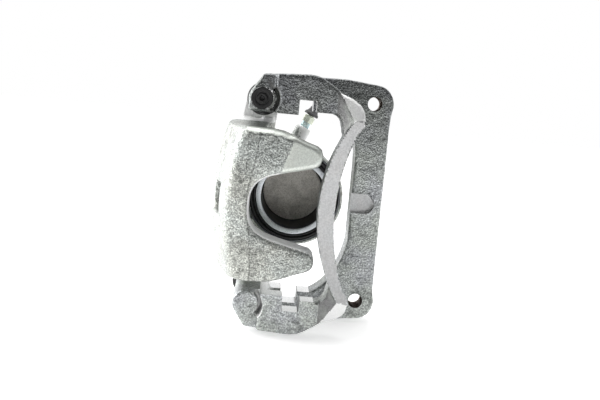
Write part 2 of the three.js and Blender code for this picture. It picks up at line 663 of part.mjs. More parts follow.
function piston() {
  const endY = pistonRimY + PISTON_LENGTH;
  const cupRadius = PISTON_RADIUS - PISTON_WALL;
  return turned([
    [0, endY],
    [PISTON_RADIUS - 2.5, endY],
    [PISTON_RADIUS, endY - 2.5],
    [PISTON_RADIUS, bootGrooveY + BOOT_GROOVE_WIDTH],
    [PISTON_RADIUS - BOOT_GROOVE_DEPTH, bootGrooveY + BOOT_GROOVE_WIDTH],
    [PISTON_RADIUS - BOOT_GROOVE_DEPTH, bootGrooveY],
    [PISTON_RADIUS, bootGrooveY],
    [PISTON_RADIUS, pistonRimY + 0.6],
    [PISTON_RADIUS - 0.6, pistonRimY],
    [cupRadius + 0.5, pistonRimY],
    [cupRadius, pistonRimY + 0.5],
    [cupRadius, endY - PISTON_BASE - 2],
    [cupRadius - 2, endY - PISTON_BASE],
    [0, endY - PISTON_BASE],
  ], PISTON_X, 0, 64);
}

function squareRing(inner, outer, y0, y1, x, z, segments) {
  return turned([[inner, y0], [outer, y0], [outer, y1], [inner, y1]], x, z, segments);
}

function pistonBoot() {
  const lip = PISTON_RADIUS - BOOT_GROOVE_DEPTH + FIT_GAP;
  const bead = boreRadius + BOOT_POCKET_WIDTH - FIT_GAP;
  const lipFront = bootGrooveY + FIT_GAP;
  const lipBack = bootGrooveY + BOOT_GROOVE_WIDTH - FIT_GAP;
  const crestFront = cylinderFaceY - 1.4;
  return turned([
    [lip, lipFront],
    [PISTON_RADIUS + 0.5, lipFront],
    [PISTON_RADIUS + 0.9, crestFront],
    [PISTON_RADIUS + 4.2, crestFront],
    [PISTON_RADIUS + 4.9, bootY - 2.2],
    [bead, bootY - 2.2],
    [bead, bootY - FIT_GAP],
    [PISTON_RADIUS + 3.9, bootY - FIT_GAP],
    [PISTON_RADIUS + 3.3, crestFront + BOOT_WALL],
    [PISTON_RADIUS + 2, crestFront + BOOT_WALL],
    [PISTON_RADIUS + 1.8, lipBack],
    [lip, lipBack],
  ], PISTON_X, 0, 64);
}

const ringOuter = boreRadius + BOOT_POCKET_WIDTH - FIT_GAP;
place('piston', piston(), 'plunger');
place('piston_seal', squareRing(PISTON_RADIUS + 0.3, boreRadius + SEAL_HEIGHT, sealY + FIT_GAP,
  sealY + FIT_GAP + SEAL_WIDTH, PISTON_X, 0, 64), 'rubber');
place('piston_boot', pistonBoot(), 'rubber');
const retainerY = bootY - 4;
place('boot_retaining_ring', squareRing(ringOuter - RETAINER_THICKNESS, ringOuter, retainerY,
  retainerY + RETAINER_WIDTH, PISTON_X, 0, 64), 'springSteel');

// ---------------------------------------------------------------- guide pins
const bushingY = pinTipY + BUSHING_SETBACK;
const neckRadius = pinBoreRadius - PIN_CLEARANCE - BUSHING_WALL - FIT_GAP;

// Both pins are alike but for the tip: one is plain, the other is necked down for its bushing.
function guidePin(side, bushed) {
  const z = side * pinZ;
  const neckEnd = bushingY + BUSHING_LENGTH;
  const plainTip = [[0, pinTipY], [PIN_RADIUS - 1.5, pinTipY], [PIN_RADIUS, pinTipY + 1.5]];
  const neckedTip = [[0, pinTipY], [neckRadius, pinTipY], [neckRadius, neckEnd], [PIN_RADIUS, neckEnd]];
  const tip = bushed ? neckedTip : plainTip;
  const shaft = turned([...tip, [PIN_RADIUS, pinHexY + 1], [0, pinHexY + 1]], PIN_X, z, 32);
  const hexEnd = pinHexY + PIN_HEX_LENGTH;
  const hexagon = rod(PIN_X, z, PIN_HEX_RADIUS, pinHexY, hexEnd, 6);
  const thread = rod(PIN_X, z, PIN_THREAD_RADIUS, hexEnd - PIN_THREAD_DEPTH, hexEnd + 1, 28);
  return toGeometry(cut(join([shaft, hexagon]), [thread]));
}

// Bellows from the bracket's spigot to the pin's neck, as a wall of even thickness.
function pinBoot(side) {
  const crest = bootCrestRadius;
  const valley = spigotRadius + PIN_BOOT_VALLEY;
  const end = pinHexY - FIT_GAP;
  const stations = [
    [spigotRadius + 1.7, PIN_BOOT_START],
    [spigotRadius + 1.7, SPIGOT_LENGTH],
    [valley, SPIGOT_LENGTH + 0.8],
    [crest, SPIGOT_LENGTH + 2.6],
    [valley, SPIGOT_LENGTH + 4.4],
    [crest, end - 2.6],
    [PIN_RADIUS + BOOT_WALL + 1, end - 1.5],
    [PIN_RADIUS + BOOT_WALL + 0.4, end],
  ];
  const inside = stations.slice().reverse().map(([radius, y]) => [radius - BOOT_WALL, y]);
  return turned([...stations, ...inside], PIN_X, side * pinZ, 36);
}

function pinBolt(side) {
  const z = side * pinZ;
  const seat = lugBackY + FIT_GAP;
  const flangeTop = seat + BOLT_FLANGE_THICKNESS;
  const shankTip = pinHexY + PIN_HEX_LENGTH - PIN_THREAD_DEPTH + 6;
  return toGeometry(join([
    rod(PIN_X, z, BOLT_SHANK_RADIUS, shankTip, flangeTop, 28),
    rod(PIN_X, z, BOLT_FLANGE_RADIUS, seat, flangeTop, 36),
    rod(PIN_X, z, BOLT_HEX_RADIUS, seat + 1, flangeTop + BOLT_HEX_HEIGHT, 6),
  ]));
}

function borePlug() {
  const radius = pinBoreRadius - FIT_GAP;
  return turned([
    [0, bossEndY + 1.2],
    [1.3, bossEndY + 1],
    [1.6, bossEndY - 0.3],
    [2.9, bossEndY - 0.3],
    [3.2, bossEndY + 0.2],
    [radius - 0.8, bossEndY - 0.1],
    [radius, bossEndY + 0.7],
    [radius, boreEndY],
    [0, boreEndY],
  ], PIN_X, pinZ, 32);
}

for (const [name, side] of [['upper', 1], ['lower', -1]]) {
  place(`${name}_guide_pin`, guidePin(side, side > 0), 'zinc');
  place(`${name}_pin_boot`, pinBoot(side), 'rubber');
  place(`${name}_pin_bolt`, pinBolt(side), 'zinc');
}
const bushingBore = neckRadius + FIT_GAP;
const bushingEndY = bushingY + BUSHING_LENGTH - FIT_GAP;
const bushing = squareRing(bushingBore, PIN_RADIUS, bushingY, bushingEndY, PIN_X, pinZ, 32);
place('guide_pin_bushing', bushing, 'rubber');
place('guide_bore_plug', borePlug(), 'rubber');

// ---------------------------------------------------------------- bleeder
function bleederScrew() {
  const foot = cylinderRadius - 4.5;
  const shankTop = BLEEDER_HEIGHT + BLEEDER_NECK;
  const hexTop = shankTop + BLEEDER_HEX_HEIGHT;
  const tip = hexTop + BLEEDER_NIPPLE_LENGTH;
  const body = turned([
    [0, foot],
    [1.5, foot],
    [BLEEDER_THREAD_RADIUS, foot + 2.5],
    [BLEEDER_THREAD_RADIUS, hexTop],
    [BLEEDER_NIPPLE_RADIUS, hexTop + 0.8],
    [BLEEDER_NIPPLE_RADIUS - 0.6, hexTop + 2.4],
    [BLEEDER_NIPPLE_RADIUS, tip - 1.6],
    [BLEEDER_NIPPLE_RADIUS - 0.9, tip],
    [0, tip],
  ], 0, 0, 24);
  const hexagon = rod(0, 0, BLEEDER_HEX_RADIUS, shankTop, hexTop, 6);
  const drilling = rod(0, 0, BLEEDER_DRILLING_RADIUS, foot + 4, tip + 1, 10);
  return toGeometry(cut(join([body, hexagon]), [drilling]));
}

function bleederCap() {
  const base = BLEEDER_HEIGHT + BLEEDER_NECK + BLEEDER_HEX_HEIGHT + BLEEDER_CAP_GAP;
  const top = base + BLEEDER_CAP_LENGTH;
  const inside = BLEEDER_NIPPLE_RADIUS + FIT_GAP;
  return turned([
    [0, top],
    [0.7, top - 0.2],
    [1.3, top - 1.8],
    [BLEEDER_CAP_RADIUS - 1.2, base + 2.6],
    [BLEEDER_CAP_RADIUS, base + 1.2],
    [BLEEDER_CAP_RADIUS, base],
    [inside + 0.6, base],
    [inside, base + 1],
    [inside, base + 6.6],
    [0, base + 7.2],
  ], 0, 0, 28);
}

place('bleeder_screw', onBleederAxis(bleederScrew()), 'zinc');
place('bleeder_cap', onBleederAxis(bleederCap()), 'capRubber');

// Every piece leaves with its faces pointing outwards.
for (const mesh of group.children) {
  const bare = mesh.geometry.clone();
  bare.deleteAttribute('normal');
  bare.deleteAttribute('uv');
  mesh.geometry = faceOutwards(mergeVertices(bare, 1e-4));
  mesh.geometry.computeVertexNormals();
}

export default group;
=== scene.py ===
"""Looks of a floating disc brake caliper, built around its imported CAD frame. Everything is in metres."""
import json
import math

import bmesh
import bpy
import numpy as np
from mathutils import Matrix, Vector, bvhtree, kdtree, noise


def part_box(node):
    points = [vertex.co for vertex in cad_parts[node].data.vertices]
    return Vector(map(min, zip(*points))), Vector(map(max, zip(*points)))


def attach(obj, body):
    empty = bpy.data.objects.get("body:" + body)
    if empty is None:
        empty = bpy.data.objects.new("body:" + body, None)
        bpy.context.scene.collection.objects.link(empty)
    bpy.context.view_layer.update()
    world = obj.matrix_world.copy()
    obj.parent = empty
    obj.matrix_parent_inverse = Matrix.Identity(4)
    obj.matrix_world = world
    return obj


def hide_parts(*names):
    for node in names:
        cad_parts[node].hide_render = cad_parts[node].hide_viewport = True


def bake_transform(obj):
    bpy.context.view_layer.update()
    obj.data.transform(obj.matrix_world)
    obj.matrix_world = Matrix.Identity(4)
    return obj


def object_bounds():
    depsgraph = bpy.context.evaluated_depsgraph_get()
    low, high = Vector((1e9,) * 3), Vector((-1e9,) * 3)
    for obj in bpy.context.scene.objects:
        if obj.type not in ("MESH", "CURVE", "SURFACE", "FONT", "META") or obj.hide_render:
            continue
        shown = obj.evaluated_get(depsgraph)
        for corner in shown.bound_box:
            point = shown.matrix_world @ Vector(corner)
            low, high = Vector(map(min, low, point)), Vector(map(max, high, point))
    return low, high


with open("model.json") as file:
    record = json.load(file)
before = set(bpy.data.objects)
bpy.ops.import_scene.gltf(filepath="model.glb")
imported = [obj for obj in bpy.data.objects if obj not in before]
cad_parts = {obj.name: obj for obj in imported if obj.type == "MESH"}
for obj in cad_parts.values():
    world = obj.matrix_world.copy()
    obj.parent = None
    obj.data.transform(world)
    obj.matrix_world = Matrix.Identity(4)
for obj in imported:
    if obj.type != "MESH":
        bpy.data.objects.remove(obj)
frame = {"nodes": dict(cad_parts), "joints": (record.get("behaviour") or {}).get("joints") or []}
cad_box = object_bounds()

MM = 0.001
TAU = 2 * math.pi

# ---------------------------------------------------------------- places read from the frame
bracket_low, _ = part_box("carrier_bracket")
housing_low, housing_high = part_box("caliper_housing")
piston_low, piston_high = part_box("piston")
pin_low, pin_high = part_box("upper_guide_pin")
_, bolt_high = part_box("upper_pin_bolt")
plug_low, plug_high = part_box("guide_bore_plug")
dust_low, dust_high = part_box("piston_boot")
bushing_low, bushing_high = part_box("guide_pin_bushing")

piston_x = (piston_low.x + piston_high.x) / 2
piston_radius = (piston_high.x - piston_low.x) / 2
pin_x = (pin_low.x + pin_high.x) / 2
pin_z = (plug_low.z + plug_high.z) / 2
lug_back_y = bolt_high.y - 8.3 * MM      # where the bolt's head ends

# Sizes that the boxes alone don't give, as in the CAD
PLATE_THICKNESS = 18 * MM
ARM_FACE_Y = bracket_low.y + 11 * MM
BOSS_END_Y = ARM_FACE_Y + 6 * MM
BOLT_Z = 70 * MM
BOLT_HOLE_RADIUS = 5.2 * MM
SLOT_RIM_X = piston_x - 3.65 * MM
SLOT_HUB_X = piston_x + 7.65 * MM
RELIEF_FACE_Y = -13 * MM
PIN_BORE_RADIUS = 6.3 * MM
SPIGOT_RADIUS = 8.6 * MM
FINGER_PAD_Y = housing_low.y + 18 * MM
CYLINDER_FACE_Y = piston_low.y + 2 * MM
BORE_BOTTOM_Y = piston_high.y + 6 * MM
LUG_FACE_Y = lug_back_y - 12 * MM
LUG_HOLE_RADIUS = 4.3 * MM
PORT_X = piston_x - 8 * MM
PORT_Z = -12 * MM
PORT_RADIUS = 4.5 * MM
BLEEDER_TILT = math.radians(25)
bleeder_axis = Vector((math.sin(BLEEDER_TILT), 0, math.cos(BLEEDER_TILT)))
bleeder_foot = Vector(next(j for j in frame["joints"] if j["name"] == "bleeder_turn")["pos_m"])
BLEEDER_BOSS_END = 46.5 * MM            # along the bleeder's axis, from its foot
BLEEDER_BOSS_RADIUS = 6.3 * MM
SLOPE_START_X = -78 * MM                # the housing's front falls away towards the rim from here
STEP_X = -82 * MM                       # the fingers' plate ends here, in a step down to that slope
FRONT_FALL = 0.25                       # fall of the slope for each unit of its run


# ---------------------------------------------------------------- camera
CAMERA_PLACE = Vector((-69.10, -553.51, 65.15)) * MM
CAMERA_LENS = 46.26
CAMERA_YAW, CAMERA_PITCH, CAMERA_ROLL = -0.04354, -0.12280, 0.09189


def photo_camera():
    """The reference view: slightly above, from the outboard side, rolled a little."""
    data = bpy.data.cameras.new("camera")
    data.sensor_width = 36
    data.lens = CAMERA_LENS
    data.clip_start = 0.02
    data.clip_end = 50
    camera = bpy.data.objects.new("camera", data)
    bpy.context.scene.collection.objects.link(camera)
    level = Matrix(((1, 0, 0), (0, 0, -1), (0, 1, 0)))
    yaw = Matrix.Rotation(CAMERA_YAW, 3, "Z")
    pitch = Matrix.Rotation(CAMERA_PITCH, 3, "X")
    roll = Matrix.Rotation(CAMERA_ROLL, 3, "Z")
    camera.matrix_world = Matrix.Translation(CAMERA_PLACE) @ (yaw @ level @ pitch @ roll).to_4x4()
    bpy.context.scene.camera = camera


photo_camera()


# ---------------------------------------------------------------- material nodes
class Look:
    """A small helper round one node material: it adds nodes and links them in one call."""

    def __init__(self, name, roughness, metallic=0.0):
        self.material = bpy.data.materials.new(name)
        self.material.use_nodes = True
        self.tree = self.material.node_tree
        self.shader = self.tree.nodes["Principled BSDF"]
        self.shader.inputs["Roughness"].default_value = roughness
        self.shader.inputs["Metallic"].default_value = metallic
        self.place = self.node("ShaderNodeTexCoord").outputs["Object"]

    def node(self, kind, settings=None, **links):
        made = self.tree.nodes.new(kind)
        for key, value in (settings or {}).items():
            if hasattr(made, key) and key not in made.inputs:
                setattr(made, key, value)
            else:
                made.inputs[key].default_value = value
        for key, output in links.items():
            self.tree.links.new(output, made.inputs[key.replace("_", " ")])
        return made

    def noise(self, size, detail=2.0, roughness=0.55, distortion=0.0, stretch=None):
        """Noise with features of about this size, in metres, between 0 and 1."""
        place = self.place
        if stretch is not None:
            place = self.node("ShaderNodeMapping", {"Scale": stretch}, Vector=place).outputs["Vector"]
        return self.node(
            "ShaderNodeTexNoise",
            {"Scale": 1 / size, "Detail": detail, "Roughness": roughness, "Distortion": distortion},
            Vector=place,
        ).outputs["Fac"]

    def height(self):
        """The height of each point, in metres."""
        return self.node("ShaderNodeSeparateXYZ", Vector=self.place).outputs["Z"]

    def ramp(self, value, *stops):
        """A colour for each value, from stops of (place, colour)."""
        made = self.node("ShaderNodeValToRGB", Fac=value)
        elements = made.color_ramp.elements
        while len(elements) < len(stops):
            elements.new(0.5)
        for element, (place, colour) in zip(elements, stops):
            element.position = place
            element.color = (*colour, 1)
        return made.outputs["Color"]

    def number(self, value, low, high, from_low=0.0, from_high=1.0):
        """A value moved to another range."""
        return self.node(
            "ShaderNodeMapRange",
            {"From Min": from_low, "From Max": from_high, "To Min": low, "To Max": high},
            Value=value,
        ).outputs["Result"]

    def mix(self, factor, a, b, blend="MIX"):
        """Two colours mixed; each is an output or three numbers."""
        made = self.node("ShaderNodeMix", {"data_type": "RGBA", "blend_type": blend})
        colours = [s for s in made.inputs if s.type == "RGBA"]
        for socket, value in ((made.inputs[0], factor), (colours[0], a), (colours[1], b)):
            if isinstance(value, (int, float)):
                socket.default_value = value
            elif isinstance(value, tuple):
                socket.default_value = (*value, 1)
            else:
                self.tree.links.new(value, socket)
        return next(s for s in made.outputs if s.type == "RGBA")

    def dimmed(self, colour, value):
        """A colour times a brightness."""
        return self.mix(1.0, colour, self.grey_of(value), "MULTIPLY")

    def grey_of(self, value):
        """A grey of this brightness."""
        made = self.node("ShaderNodeCombineColor")
        for socket in made.inputs:
            self.tree.links.new(value, socket)
        return made.outputs[0]

    def attribute(self, name):
        return self.node("ShaderNodeAttribute", {"attribute_name": name}).outputs["Fac"]

    def colour(self, output):
        self.tree.links.new(output, self.shader.inputs["Base Color"])

    def rough(self, output):
        self.tree.links.new(output, self.shader.inputs["Roughness"])

    def bump(self, *layers):
        """Bump layers of (height output, depth in metres, strength), from the coarsest to the finest."""
        normal = None
        for height, depth, strength in layers:
            made = self.node("ShaderNodeBump", {"Strength": strength, "Distance": depth}, Height=height)
            if normal is not None:
                self.tree.links.new(normal, made.inputs["Normal"])
            normal = made.outputs["Normal"]
        self.tree.links.new(normal, self.shader.inputs["Normal"])


def grey(value, red=0.0, blue=0.0):
    return (value + red, value, value + blue)


def cast_zinc(name, dark, light, upper_shade, pebble, depth, roughness, warm, cool):
    """Bright zinc plate over a rough sand casting: pebbled, its speckle darker in the pebbles' hollows and
    lighter on their tops as painted shade and painted highlight, with painted shade in its pits and painted
    shade that darkens it towards its upper end.
    """
    look = Look(name, roughness, 1.0)
    swell = look.noise(4.5 * MM, 2.0, 0.5, 0.4)
    pebbles = look.noise(pebble, 2.0, 0.5, 0.5)
    grit = look.noise(0.6 * MM, 2.0, 0.6)
    middle = 0.6 * dark + 0.4 * light
    # The speckle follows the pebbles' bump: darker in their hollows and lighter on their tops, painted shade
    # and painted highlight over the casting's own mottle.
    base = look.ramp(pebbles, (0.36, grey(dark)), (0.52, grey(middle)), (0.6, grey(light)))
    # Painted shade: the colour darkens down into the pits of the cast relief, read from the tops attribute.
    pit_shaded = look.dimmed(base, look.number(look.attribute("tops"), 0.5, 1.0, 0.0, 0.5))
    # Painted shade: the colour darkens towards the upper end.
    shaded_above = look.dimmed(pit_shaded, look.number(look.height(), 1.0, upper_shade, 15 * MM, 75 * MM))
    tint = look.mix(look.number(look.noise(24 * MM, 2.0), 0.0, 1.0, 0.38, 0.62), warm, cool)
    look.colour(look.mix(1.0, shaded_above, tint, "MULTIPLY"))
    look.rough(look.number(look.noise(0.9 * MM, 2.0), roughness - 0.08, roughness + 0.1, 0.3, 0.7))
    look.bump((swell, 0.6 * MM, 0.6), (pebbles, depth, 1.0), (grit, 0.14 * MM, 0.7))
    return look.material


def smooth_zinc(name, value, roughness, metallic=0.6):
    """Zinc plate over a face that was ground or fettled: a fine even grain."""
    look = Look(name, roughness, metallic)
    grain = look.noise(0.7 * MM, 3.0, 0.6)
    cloud = look.noise(9 * MM, 2.0)
    base = look.ramp(grain, (0.3, grey(value - 0.07)), (0.7, grey(value + 0.05)))
    look.colour(look.mix(look.number(cloud, 0.0, 0.35, 0.4, 0.7), base, (0.62, 0.66, 0.6)))
    look.rough(look.number(cloud, roughness - 0.05, roughness + 0.1, 0.3, 0.7))
    look.bump((look.noise(2.4 * MM, 2.0), 0.12 * MM, 0.5), (grain, 0.05 * MM, 0.6))
    return look.material


def milled_zinc(name, value, roughness, lines, lower_shade=None, metallic=0.75, tint=(1.0, 1.0, 1.0)):
    """A machined face under zinc plate, with the cutter's fine lines; painted shade may darken it towards its
    lower end.
    """
    look = Look(name, roughness, metallic)
    cutter = look.noise(1.0 * MM, 2.0, 0.6, 0.0, lines)
    grain = look.noise(0.6 * MM, 2.0)
    cloud = look.noise(14 * MM, 1.0)
    base = look.ramp(cutter, (0.3, grey(value - 0.05)), (0.7, grey(value + 0.04)))
    base = look.mix(look.number(cloud, 0.0, 0.5, 0.35, 0.7), base, (value - 0.02, value, value + 0.01))
    speckle = look.ramp(look.noise(0.9 * MM, 2.0), (0.4, tuple(0.84 * c for c in tint)), (0.6, tint))
    base = look.mix(1.0, base, speckle, "MULTIPLY")
    # Painted shade: the colour darkens towards the lower end.
    if lower_shade is not None:
        base = look.dimmed(base, look.number(look.height(), lower_shade, 1.0, -60 * MM, 55 * MM))
    look.colour(base)
    look.rough(look.number(grain, roughness - 0.05, roughness + 0.08, 0.3, 0.7))
    look.bump((cutter, 0.035 * MM, 0.7), (grain, 0.02 * MM, 0.5))
    return look.material


def raw_bore(name):
    """The dull brownish wall of a drilled and tapped hole."""
    look = Look(name, 0.5, 0.85)
    stain = look.noise(1.6 * MM, 3.0, 0.6, 0.3)
    oily, dull, bright = (0.05, 0.035, 0.025), (0.16, 0.13, 0.11), (0.34, 0.32, 0.3)
    look.colour(look.ramp(stain, (0.3, oily), (0.55, dull), (0.75, bright)))
    look.rough(look.number(stain, 0.35, 0.65, 0.3, 0.7))
    look.bump((look.noise(0.5 * MM, 2.0), 0.06 * MM, 0.7))
    return look.material


def piston_rim(name):
    """Ground steel with fine turning marks."""
    look = Look(name, 0.3, 1.0)
    turning = look.noise(1.0 * MM, 2.0, 0.6, 0.0, (1.0, 9.0, 1.0))
    look.colour(look.ramp(turning, (0.3, (0.6, 0.63, 0.66)), (0.7, (0.72, 0.75, 0.78))))
    look.rough(look.number(turning, 0.25, 0.4, 0.3, 0.7))
    look.bump((turning, 0.02 * MM, 0.6))
    return look.material


def piston_cup(name, dark, light):
    """The drawn inside of the piston: dull grey-brown, mottled and a little stained."""
    look = Look(name, 0.5, 0.5)
    blotch = look.noise(9 * MM, 4.0, 0.6, 0.5)
    speck = look.noise(0.9 * MM, 3.0, 0.65)
    base = look.ramp(blotch, (0.3, dark), (0.7, light))
    specks = look.ramp(speck, (0.35, (0.55, 0.53, 0.5)), (0.6, (1.0, 1.0, 1.0)))
    look.colour(look.mix(0.75, base, specks, "MULTIPLY"))
    look.rough(look.number(speck, 0.38, 0.6, 0.3, 0.7))
    look.bump((speck, 0.1 * MM, 0.6), (look.noise(0.4 * MM, 2.0), 0.04 * MM, 0.5))
    return look.material


def rubber(name, value, roughness):
    """Moulded rubber with a faint bloom and a fine skin."""
    look = Look(name, roughness)
    bloom = look.noise(6 * MM, 3.0, 0.6)
    skin = look.noise(0.45 * MM, 2.0)
    look.colour(look.ramp(bloom, (0.3, grey(value * 0.8)), (0.75, grey(value * 1.35, blue=value * 0.06))))
    look.rough(look.number(look.noise(2.0 * MM, 2.0), roughness - 0.08, roughness + 0.1, 0.3, 0.7))
    look.bump((look.noise(3.0 * MM, 2.0), 0.12 * MM, 0.35), (skin, 0.03 * MM, 0.5))
    look.shader.inputs["Specular IOR Level"].default_value = 0.45
    return look.material


def plated_steel(name, base, tint, roughness, metallic=1.0):
    """Bright zinc plate on turned steel, with the faint colours of its passivation."""
    look = Look(name, roughness, metallic)
    tints = look.noise(3.5 * MM, 2.0)
    turning = look.noise(0.8 * MM, 2.0, 0.6)
    colours = look.ramp(tints, (0.35, base), (0.65, tint))
    look.colour(look.mix(look.number(turning, 0.0, 0.3, 0.4, 0.7), colours, tuple(0.7 * c for c in base)))
    look.rough(look.number(turning, roughness - 0.06, roughness + 0.1, 0.3, 0.7))
    look.bump((turning, 0.03 * MM, 0.6))
    return look.material


def floor_paper(name):
    """Pale studio paper that glows a little, as if lit from all round."""
    look = Look(name, 0.9)
    fibre = look.noise(30 * MM, 3.0)
    look.colour(look.ramp(fibre, (0.3, grey(0.86)), (0.7, grey(0.9))))
    look.bump((look.noise(2 * MM, 2.0), 0.02 * MM, 0.3))
    look.shader.inputs["Emission Color"].default_value = (1, 1, 1, 1)
    look.shader.inputs["Emission Strength"].default_value = 0.5
    return look.material


EVEN_GRAIN = (1.0, 1.0, 1.0)
STRAIGHT_CUT = (1.0, 1.0, 0.3)          # a cutter's lines that run up and down
LONG_CUT = (1.0, 1.0, 0.12)

BRACKET_CAST = cast_zinc(
    "bracket_cast_zinc", dark=0.3, light=0.68, upper_shade=0.5, pebble=1.05 * MM, depth=0.5 * MM,
    roughness=0.36, warm=(0.95, 1.0, 0.95), cool=(0.94, 0.97, 1.0),
)
BRACKET_SMOOTH = smooth_zinc("bracket_fettled_zinc", value=0.84, roughness=0.42, metallic=0.5)
# Painted shade: a dark copy of the fettled finish, for the slopes that face the rim.
SHADED_BRACKET_SLOPE = smooth_zinc("bracket_slope_painted_shade", value=0.2, roughness=0.42, metallic=0.8)
BRACKET_MILLED = milled_zinc(
    "bracket_milled_zinc", value=0.82, roughness=0.34, lines=LONG_CUT, lower_shade=0.5
)
BRACKET_SLOT = milled_zinc("bracket_slot_zinc", value=0.96, roughness=0.3, lines=STRAIGHT_CUT, metallic=1.0)
BRACKET_RELIEF = milled_zinc("bracket_relief_zinc", value=0.64, roughness=0.42, lines=STRAIGHT_CUT)
# Painted shade: a near-black copy of the fettled finish, for the upper groove and the boss end beside it.
SHADED_BRACKET_GROOVE = smooth_zinc("bracket_groove_painted_shade", value=0.12, roughness=0.55)
HOUSING_CAST = cast_zinc(
    "housing_cast_zinc", dark=0.3, light=0.74, upper_shade=0.85, pebble=0.95 * MM, depth=0.6 * MM,
    roughness=0.36, warm=(0.98, 1.0, 0.93), cool=(0.95, 1.0, 0.96),
)
# The fettled finish, also laid on the bleeder's boss and the upper lug as painted light.
HOUSING_SMOOTH = smooth_zinc("fettled_and_lit_housing_zinc", value=0.93, roughness=0.45, metallic=0.25)
HOUSING_MILLED = milled_zinc(
    "housing_milled_zinc", value=0.74, roughness=0.42, lines=EVEN_GRAIN, tint=(0.96, 1.0, 0.93)
)
TAPPED_HOLE = raw_bore("tapped_hole_wall")
PISTON_RIM = piston_rim("piston_ground_steel")
CUP_FLOOR = piston_cup("piston_cup_floor", dark=(0.56, 0.54, 0.5), light=(0.9, 0.87, 0.82))
# Painted shade: a near-black copy of the cup's finish, for its inner wall.
SHADED_CUP_WALL = piston_cup("shaded_piston_cup_wall", dark=(0.05, 0.05, 0.052), light=(0.11, 0.11, 0.115))
BLACK_RUBBER = rubber("black_rubber", value=0.018, roughness=0.42)
PLUG_RUBBER = rubber("plug_rubber", value=0.013, roughness=0.5)
CAP_RUBBER = rubber("cap_rubber", value=0.075, roughness=0.6)
PLATED_STEEL = plated_steel(
    "zinc_plated_steel", base=(0.62, 0.66, 0.6), tint=(0.68, 0.72, 0.62), roughness=0.32
)
NIPPLE_STEEL = plated_steel(
    "nipple_zinc_steel", base=(0.74, 0.8, 0.7), tint=(0.8, 0.84, 0.68), roughness=0.34, metallic=0.45
)
BLUE_STEEL = plated_steel(
    "blue_passivated_steel", base=(0.5, 0.68, 0.74), tint=(0.66, 0.8, 0.76), roughness=0.3, metallic=0.5
)
SPRING_STEEL = plated_steel(
    "dark_spring_steel", base=(0.2, 0.21, 0.22), tint=(0.26, 0.27, 0.28), roughness=0.35
)


# ---------------------------------------------------------------- castings
class Faces:
    """The CAD faces of one casting, as arrays of centres and normals, to tell machined faces from cast."""

    def __init__(self, centres, normals):
        self.x, self.y, self.z = centres.T
        self.nx, self.ny, self.nz = normals.T

    def at(self, values, place):
        return np.abs(values - place) < 0.06 * MM

    def across_y(self, place, sign):
        """Faces that look along Y, at this place."""
        return self.at(self.y, place) & (self.ny * sign > 0.99)

    def round_y(self, x, z, low, high):
        """Faces within these radii of an axis along Y."""
        radius = np.hypot(self.x - x, self.z - z)
        return (radius > low) & (radius < high)

    def slanted(self):
        """The bracket's slopes between its arms and its tie bar."""
        facing = (self.ny < -0.25) & (self.ny > -0.985)
        return facing & (self.y < ARM_FACE_Y + 0.5 * MM) & (self.x > pin_x + 20 * MM)

    def groove(self, z):
        """The groove beside the bracket's pin boss at this height."""
        ring = self.round_y(pin_x, z, 8.2 * MM, 11.5 * MM) & (self.x > pin_x + 4 * MM)
        return ring & (self.y > ARM_FACE_Y + 0.5 * MM) & (self.y < BOSS_END_Y + 9.1 * MM)


def bracket_relief(f):
    """The relief's floor."""
    return f.across_y(RELIEF_FACE_Y, -1)


def bracket_slots(f):
    """The pad slots' floors and shoulders."""
    across = (np.abs(f.nz) > 0.99) & (f.x > pin_x + 9 * MM) & (f.x < SLOT_HUB_X + 8.8 * MM)
    return across & (f.z * f.nz < 0) & (np.abs(f.z) > 55 * MM)


def bracket_slopes(f):
    """The rim side slopes that lead from the arms up to the tie bar; they take a dark copy of the fettled
    finish, painted shade.
    """
    return f.slanted() & (f.nx < -0.3)


def bracket_milled(f):
    """The knuckle face, the tie bar's front, the slots' walls, the bores, spigots and the relief's walls."""
    milled = f.across_y(0, 1) | f.across_y(bracket_low.y, -1)
    milled |= (f.at(f.x, SLOT_RIM_X) | f.at(f.x, SLOT_HUB_X)) & (np.abs(f.nx) > 0.99)
    for z in (pin_z, -pin_z):
        milled |= f.round_y(pin_x, z, 0, PIN_BORE_RADIUS + 2 * MM) & (np.abs(f.ny) < 0.9)
        milled |= f.round_y(pin_x, z, 0, SPIGOT_RADIUS + 0.1 * MM) & (f.y > 0.1 * MM)
    for z in (BOLT_Z, -BOLT_Z):
        milled |= f.round_y(0, z, 0, BOLT_HOLE_RADIUS + 0.1 * MM) & (np.abs(f.ny) < 0.1)
    relief = (f.y < RELIEF_FACE_Y) & (f.y > -PLATE_THICKNESS - 0.1 * MM) & (np.abs(f.ny) < 0.1)
    milled |= relief & (np.abs(f.z) < 7.1 * MM) & (f.x > piston_x + 41 * MM) & (f.x < 6.6 * MM)
    return milled


def bracket_fettled(f):
    """The faired ends of the tie bar, and the groove beside the lower boss."""
    return f.slanted() | f.groove(-pin_z)


def bracket_grooves(f):
    """The groove beside the upper boss, which takes a near-black material: painted shade."""
    return f.groove(pin_z)


